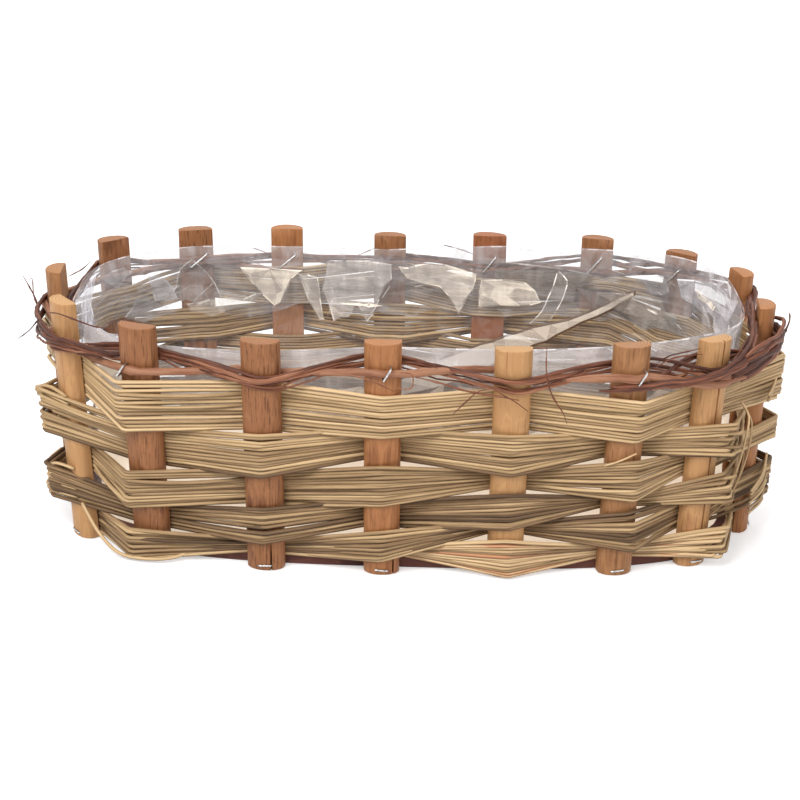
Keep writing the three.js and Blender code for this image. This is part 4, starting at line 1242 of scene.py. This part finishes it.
def hang_layer(columns, rows, margin, corner_at):
    """Hangs a layer of facets round the wall. Gives each facet's film corners with its middle's place
    and level, and the corners along the layer's foot."""
    corners, faces, seam = wall_cut(columns, rows, margin)
    index = {}
    for vertex, (place, level) in enumerate(corners):
        if place <= STAKE_COUNT - 1e-3:
            index[vertex] = film_vertex(place, *corner_at(place, level))
    foot = [made for vertex, made in index.items() if corners[vertex][1] < 1e-6]
    for vertex, (place, level) in enumerate(corners):
        if vertex not in index:
            index[vertex] = index[seam[round(level)]]
    facets = []
    for face in faces:
        middle = [sum(corners[v][axis] for v in face) / len(face) for axis in (0, 1)]
        facets.append(([index[v] for v in face], *middle))
    return facets, foot


def wall_corner(place, level):
    """The bag's wall: crumpled, and sagging inward below the cuff, but not in front."""
    bottom = FILM_FLOOR + 2 * MM
    z = bottom + level * (film_edge(place) - FILM_FLOOR - 2 * MM)
    sag = noise.noise(Vector((place * 1.9, level * 4, 3))) * 3.2
    crumple = film_rng.uniform(0, 1.6) * (1 if 0 < level < 1 else 0.3)
    inward = 1.2 + sag + crumple if z < (CUFF_LOW - 12) * MM else 0.5 * crumple
    inward *= 1 - 0.85 * part_of_wall(place)[2]
    return FILM_OUT - max(0.0, inward) * MM, z


film_rows = round(FACETED_HEIGHT / FILM_GRAIN) - 1
facets, low_ring = hang_layer(round(PERIMETER / FILM_GRAIN), film_rows, 0.04, wall_corner)
# On the front, the film low down is milky and warm so that it glows cream between the straw rows: painted
# light. Above that, to about 100 mm, a band of painted shade dims the film.
for facet, place, _ in facets:
    z = sum(film_vertices[v].z for v in facet) / len(facet)
    left, right, front = part_of_wall(place)
    top = max(0.0, 1 - (film_edge(place) - z) / TOP_BAND)
    deep = front * max(0.0, min(1.0, (DEEP_BELOW - z) * 80))
    painted_shade_band = front * (1 - deep) * (z < (CORNER_SHADE_BAND_BELOW if place < 0.6 else SHADE_BAND_BELOW))
    milk = 0.11 + 0.05 * front + 0.7 * deep + 0.45 * painted_shade_band
    # Near its edge the film is milkier: partly where it is doubled, partly a painted sheen where light falls
    # on its top.
    milk += top * (0.15 + 0.16 * left + 0.16 * right + 0.16 * front)
    milk *= 1 + (1 - max(deep, painted_shade_band, 0.7 * front)) * film_rng.uniform(-0.4, 0.5)
    film_face(facet, milk, CLEAR_TINT + 0.75 * deep + 0.2 * front * (1 - deep) + 0.9 * painted_shade_band)

# The floor of the bag, lightly crumpled on the board
low_ring.sort(key=lambda v: math.atan2(film_vertices[v].y, film_vertices[v].x))
ring_points = [film_vertices[v].to_2d() for v in low_ring]
inner_points = []
reach = (HALF_LENGTH - FLOOR_MARGIN, HALF_WIDTH - FLOOR_MARGIN)
for _ in range(FLOOR_TRIES):
    p = Vector((film_rng.uniform(-HALF_LENGTH, HALF_LENGTH), film_rng.uniform(-HALF_WIDTH, HALF_WIDTH)))
    if sum(abs(c / most) ** SQUARENESS for c, most in zip(p, reach)) < 1:
        inner_points.append(p)
loop = [(i, (i + 1) % len(ring_points)) for i in range(len(ring_points))]
cut = geometry.delaunay_2d_cdt(ring_points + inner_points, loop, [], 1, 1e-6)
floor_index = []
for vertex, source in zip(cut[0], cut[3]):
    if source and source[0] < len(ring_points):
        floor_index.append(low_ring[source[0]])
        continue
    film_vertices.append(Vector((vertex.x, vertex.y, FILM_FLOOR + film_rng.uniform(0, 2.2) * MM)))
    film_sheet.append((vertex.x + 2, vertex.y, 0))
    floor_index.append(len(film_vertices) - 1)
for face in cut[2]:
    film_face([floor_index[v] for v in face], FLOOR_MILK * film_rng.uniform(0.5, 1.5))


def cuff_corner(place, level):
    """The cuff: a second layer inside the first, down from the edge to a ragged lower line."""
    ragged = 9 * noise.noise(Vector((place * 1.3, 0, 9))) + 6 * noise.noise(Vector((place * 4.1, 5, 0)))
    low = (CUFF_LOW + ragged) * MM
    crumple = film_rng.uniform(0, 0.3 if near_staple(place) else 2.6)
    inward = CUFF_OUT + (crumple * MM if level < 1 else 0)
    return FILM_OUT - inward, low + level * (film_edge(place) - 0.6 * MM - low)


for facet, place, level in hang_layer(round(PERIMETER / CUFF_GRAIN), 3, 0.08, cuff_corner)[0]:
    left, right, front = part_of_wall(place)
    # The upper half of the front cuff is milkier still: a painted sheen where light falls on the top of the
    # film.
    milk = 0.24 + 0.24 * left + 0.22 * right + (0.27 if level > 0.55 else 0.12) * front
    milk *= 1 + (1 - 0.6 * front) * film_rng.uniform(-0.45, 0.5)
    film_face(facet, milk, CLEAR_TINT + 0.15 * front)

# A painted highlight: a bright milky line where the film's cut edge catches the light
EDGE_LINE = 0.7 * MM
EDGE_OUT = FILM_OUT + 0.35 * MM
edge_steps = round(PERIMETER / (6 * MM))
edge_index = []
for i in range(edge_steps):
    place = i / edge_steps * STAKE_COUNT
    wander = 0.25 * noise.noise(Vector((i * 0.4, 0, 4))) * MM
    z = film_edge(place)
    edge_index.append((film_vertex(place, EDGE_OUT, z + wander),
                       film_vertex(place, EDGE_OUT, z - EDGE_LINE + wander)))
for (a, b), (c, d) in zip(edge_index, edge_index[1:] + edge_index[:1]):
    film_face([b, d, c, a], film_rng.uniform(0.25, 0.75))

# Folds lie on the film's inner face. Their rims are narrow and unevenly milky, which paints highlights
# along parts of their edges; the long strip's rim is dark painted shade.
FOLD_OUT = 3.3 * MM
FOLD_RIM = 0.8 * MM
STRIP_RIM = 1.4 * MM
SHADED = 2
DARK_SHADE = 3
LONG_EDGE = 9 * MM


def fold_outline(fold, rim):
    """The fold's edge on the unrolled wall, a long side broken once, and the line where its rim ends."""
    rough = []
    for (place, z), (after, z_after) in zip(fold, fold[1:] + fold[:1]):
        rough.append(on_wall(place, z))
        if (on_wall(after, z_after) - rough[-1]).length > LONG_EDGE:
            stray = Vector((film_rng.uniform(-1, 1), film_rng.uniform(-1, 1))) * 1.1 * MM
            rough.append(on_wall((place + after) / 2, (z + z_after) / 2) + stray)
    area = sum(a.x * b.y - b.x * a.y for a, b in zip(rough, rough[1:] + rough[:1]))
    turn = 1 if area > 0 else -1
    inner = []
    for i, corner in enumerate(rough):
        before, after = rough[i - 1], rough[(i + 1) % len(rough)]
        a, b = (corner - before).normalized(), (after - corner).normalized()
        inward = (Vector((-a.y, a.x)) + Vector((-b.y, b.x))) * turn
        inner.append(corner + inward.normalized() * min(2.5 * rim, rim / max(0.3, inward.length / 2)))
    return rough, inner


for milk, tint_and_shade, fold in FOLDS:
    rough, inner = fold_outline(fold, FOLD_RIM if tint_and_shade < SHADED else STRIP_RIM)
    count = len(rough)
    reach = [(min(p[axis] for p in rough), max(p[axis] for p in rough)) for axis in (0, 1)]
    scattered = [Vector([film_rng.uniform(*limits) for limits in reach]) for _ in range(14)]
    lines = [(i, (i + 1) % count) for i in range(count)]
    lines += [(count + i, count + (i + 1) % count) for i in range(count)]
    cut = geometry.delaunay_2d_cdt(rough + inner + scattered, lines, [], 1, 1e-7)
    start = len(film_vertices)
    outer = []
    for p, source in zip(cut[0], cut[3]):
        outer.append(bool(source) and source[0] < count)
        lift = 0 if outer[-1] else (0.5 if tint_and_shade == SHADED else film_rng.uniform(0.38, 0.66)) * MM
        film_vertex_at(p.x, FILM_OUT - FOLD_OUT - lift, p.y)
    for face in cut[2]:
        at_edge = any(outer[v] for v in face)
        strength = film_rng.uniform(0.4, 1.5) if at_edge and tint_and_shade < SHADED else film_rng.uniform(0.85, 1.15)
        film_face([start + v for v in face], milk * strength, DARK_SHADE if at_edge and tint_and_shade == SHADED else tint_and_shade)

# Painted highlights: bright ribbons along the creases and the leaf's two edges, each from its faintest to
# its brightest haze
RIBBONS = [(0.1, 0.6, crease) for crease in CREASES]
RIBBONS += [(0.5, 0.8, LEAF_LEFT + ((10.36, 116),)), (0.5, 0.8, LEAF_RIGHT)]
for low, high, crease in RIBBONS:
    line = curve_through([on_wall(place, z).to_3d() for place, z in crease], 5 * MM)
    ribbon = []
    for i, p in enumerate(line):
        way = way_at(line, i)
        half = film_rng.uniform(0.12, 0.42) * MM
        sides = [p + Vector((-way.y, way.x, 0)) * side * half for side in (-1, 1)]
        ribbon.append([film_vertex_at(q.x, FILM_OUT - FOLD_OUT - 1.2 * MM, q.y) for q in sides])
    for (a, b), (c, d) in zip(ribbon, ribbon[1:]):
        film_face([a, b, d, c], film_rng.uniform(low, high), 0.5)

liner = mesh_piece("film_bag", film_vertices, film_faces, film_look(), smooth=False)
keep_values(liner, "haze", film_milk, "FACE")
keep_values(liner, "tint_and_shade", film_tint_and_shade, "FACE")
keep_values(liner, "sheet", film_sheet)
skin_depth = liner.modifiers.new("film_thickness", "SOLIDIFY")
skin_depth.thickness = FILM_SKIN
skin_depth.offset = 0
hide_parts("film_liner")

# Staples
# Zinc-plated wire about 1 mm thick from a hand tacker. Short ones go through each stake's foot into the
# board; long ones hold the thick vine in front, and the film and the vines to the stakes inside.
STAPLE_WIRE = 0.52 * MM
STAPLE_LEG = 5 * MM
STAPLE_CORNER = 0.7 * MM
LINER_OUT = -14.4 * MM
FOOT_CROWN = 6.6 * MM
VINE_CROWN = 7.5 * MM
LINER_CROWN = 12.6 * MM
# Vine staples: node, place among the stakes, height in mm, along the stake in mm, slope in degrees
VINE_STAPLES = (
    ("vine_staple_02", 1, 110, -5.5, 57), ("vine_staple_04", 3, 118, 2, 60),
    ("vine_staple_06", 5, 117, 3, 60),
)


def steel_look():
    """Bright zinc with a few dull spots."""
    look = Look("zinc_wire")
    spots = look.noise(look.object_place(), 900, 3)
    colour = look.ramp(spots, [(0.35, 0.34, 0.34, 0.33), (0.6, 0.66, 0.67, 0.68)])
    look.bsdf.inputs["Metallic"].default_value = 1.0
    return look.finish(colour, look.between(spots, 0.35, 0.65, 0.48, 0.3), 0.5, spots, 0.2, 0.05)


zinc = steel_look()


def staple(name, node, at, along, z, out, crown, slope):
    """A staple's wire: a leg into the wood, the crown on top of it, and the other leg."""
    half = crown / 2
    reach = Vector((math.cos(math.radians(slope)), math.sin(math.radians(slope))))
    into = -math.copysign(1, out)
    path = []
    for side in (-1, 1):
        end = (along + side * half * reach.x, out, z + side * half * reach.y)
        leg = [at.place(end[0], out + into * depth, end[2])
               for depth in (STAPLE_LEG, STAPLE_LEG / 2, STAPLE_CORNER)]
        back = at.place(along + side * (half - STAPLE_CORNER) * reach.x, out,
                        z + side * (half - STAPLE_CORNER) * reach.y)
        bent_corner = at.place(*end).lerp((leg[-1] + back) / 2, 0.45)
        run = leg + [bent_corner, back]
        path += run if side < 0 else run[::-1]
    up = Vector((0, 0, 1))
    rings = []
    for i, centre in enumerate(path):
        flat = at.along * -reach.y + up * reach.x
        rings.append(circle(centre, flat.cross(way_at(path, i)).normalized(), flat, STAPLE_WIRE, 10))
    made = lofted(name, rings, zinc)
    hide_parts(node)


for index in range(STAKE_COUNT):
    node = f"base_staple_{index + 1:02d}"
    low, high = (Vector(corner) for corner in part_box(node))
    at = stations[index]
    along, _ = at.local((low + high) / 2)
    outermost = STAKE_DEPTH / 2 + 0.5 * STAPLE_WIRE
    staple(f"foot_staple_{index + 1:02d}", node, at, along, (low.z + high.z) / 2, outermost, FOOT_CROWN,
           index * 37 % 11 - 5)
for node, index, z, along, slope in VINE_STAPLES:
    staple(f"staple_over_vine_{index + 1:02d}", node, stations[index], along * MM, z * MM,
           STAKE_DEPTH / 2 + VINE_SEAT + 2 * THICK_RADIUS + 0.4 * MM, VINE_CROWN, slope)
for node, place, z, slope in LINER_STAPLES:
    low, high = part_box(node)
    height = (low[2] + high[2]) / 2 if z is None else z * MM
    staple("film_" + node, node, stations[int(place)], 0.5 * MM, height, LINER_OUT, LINER_CROWN,
           -slope if place > 8 else slope)
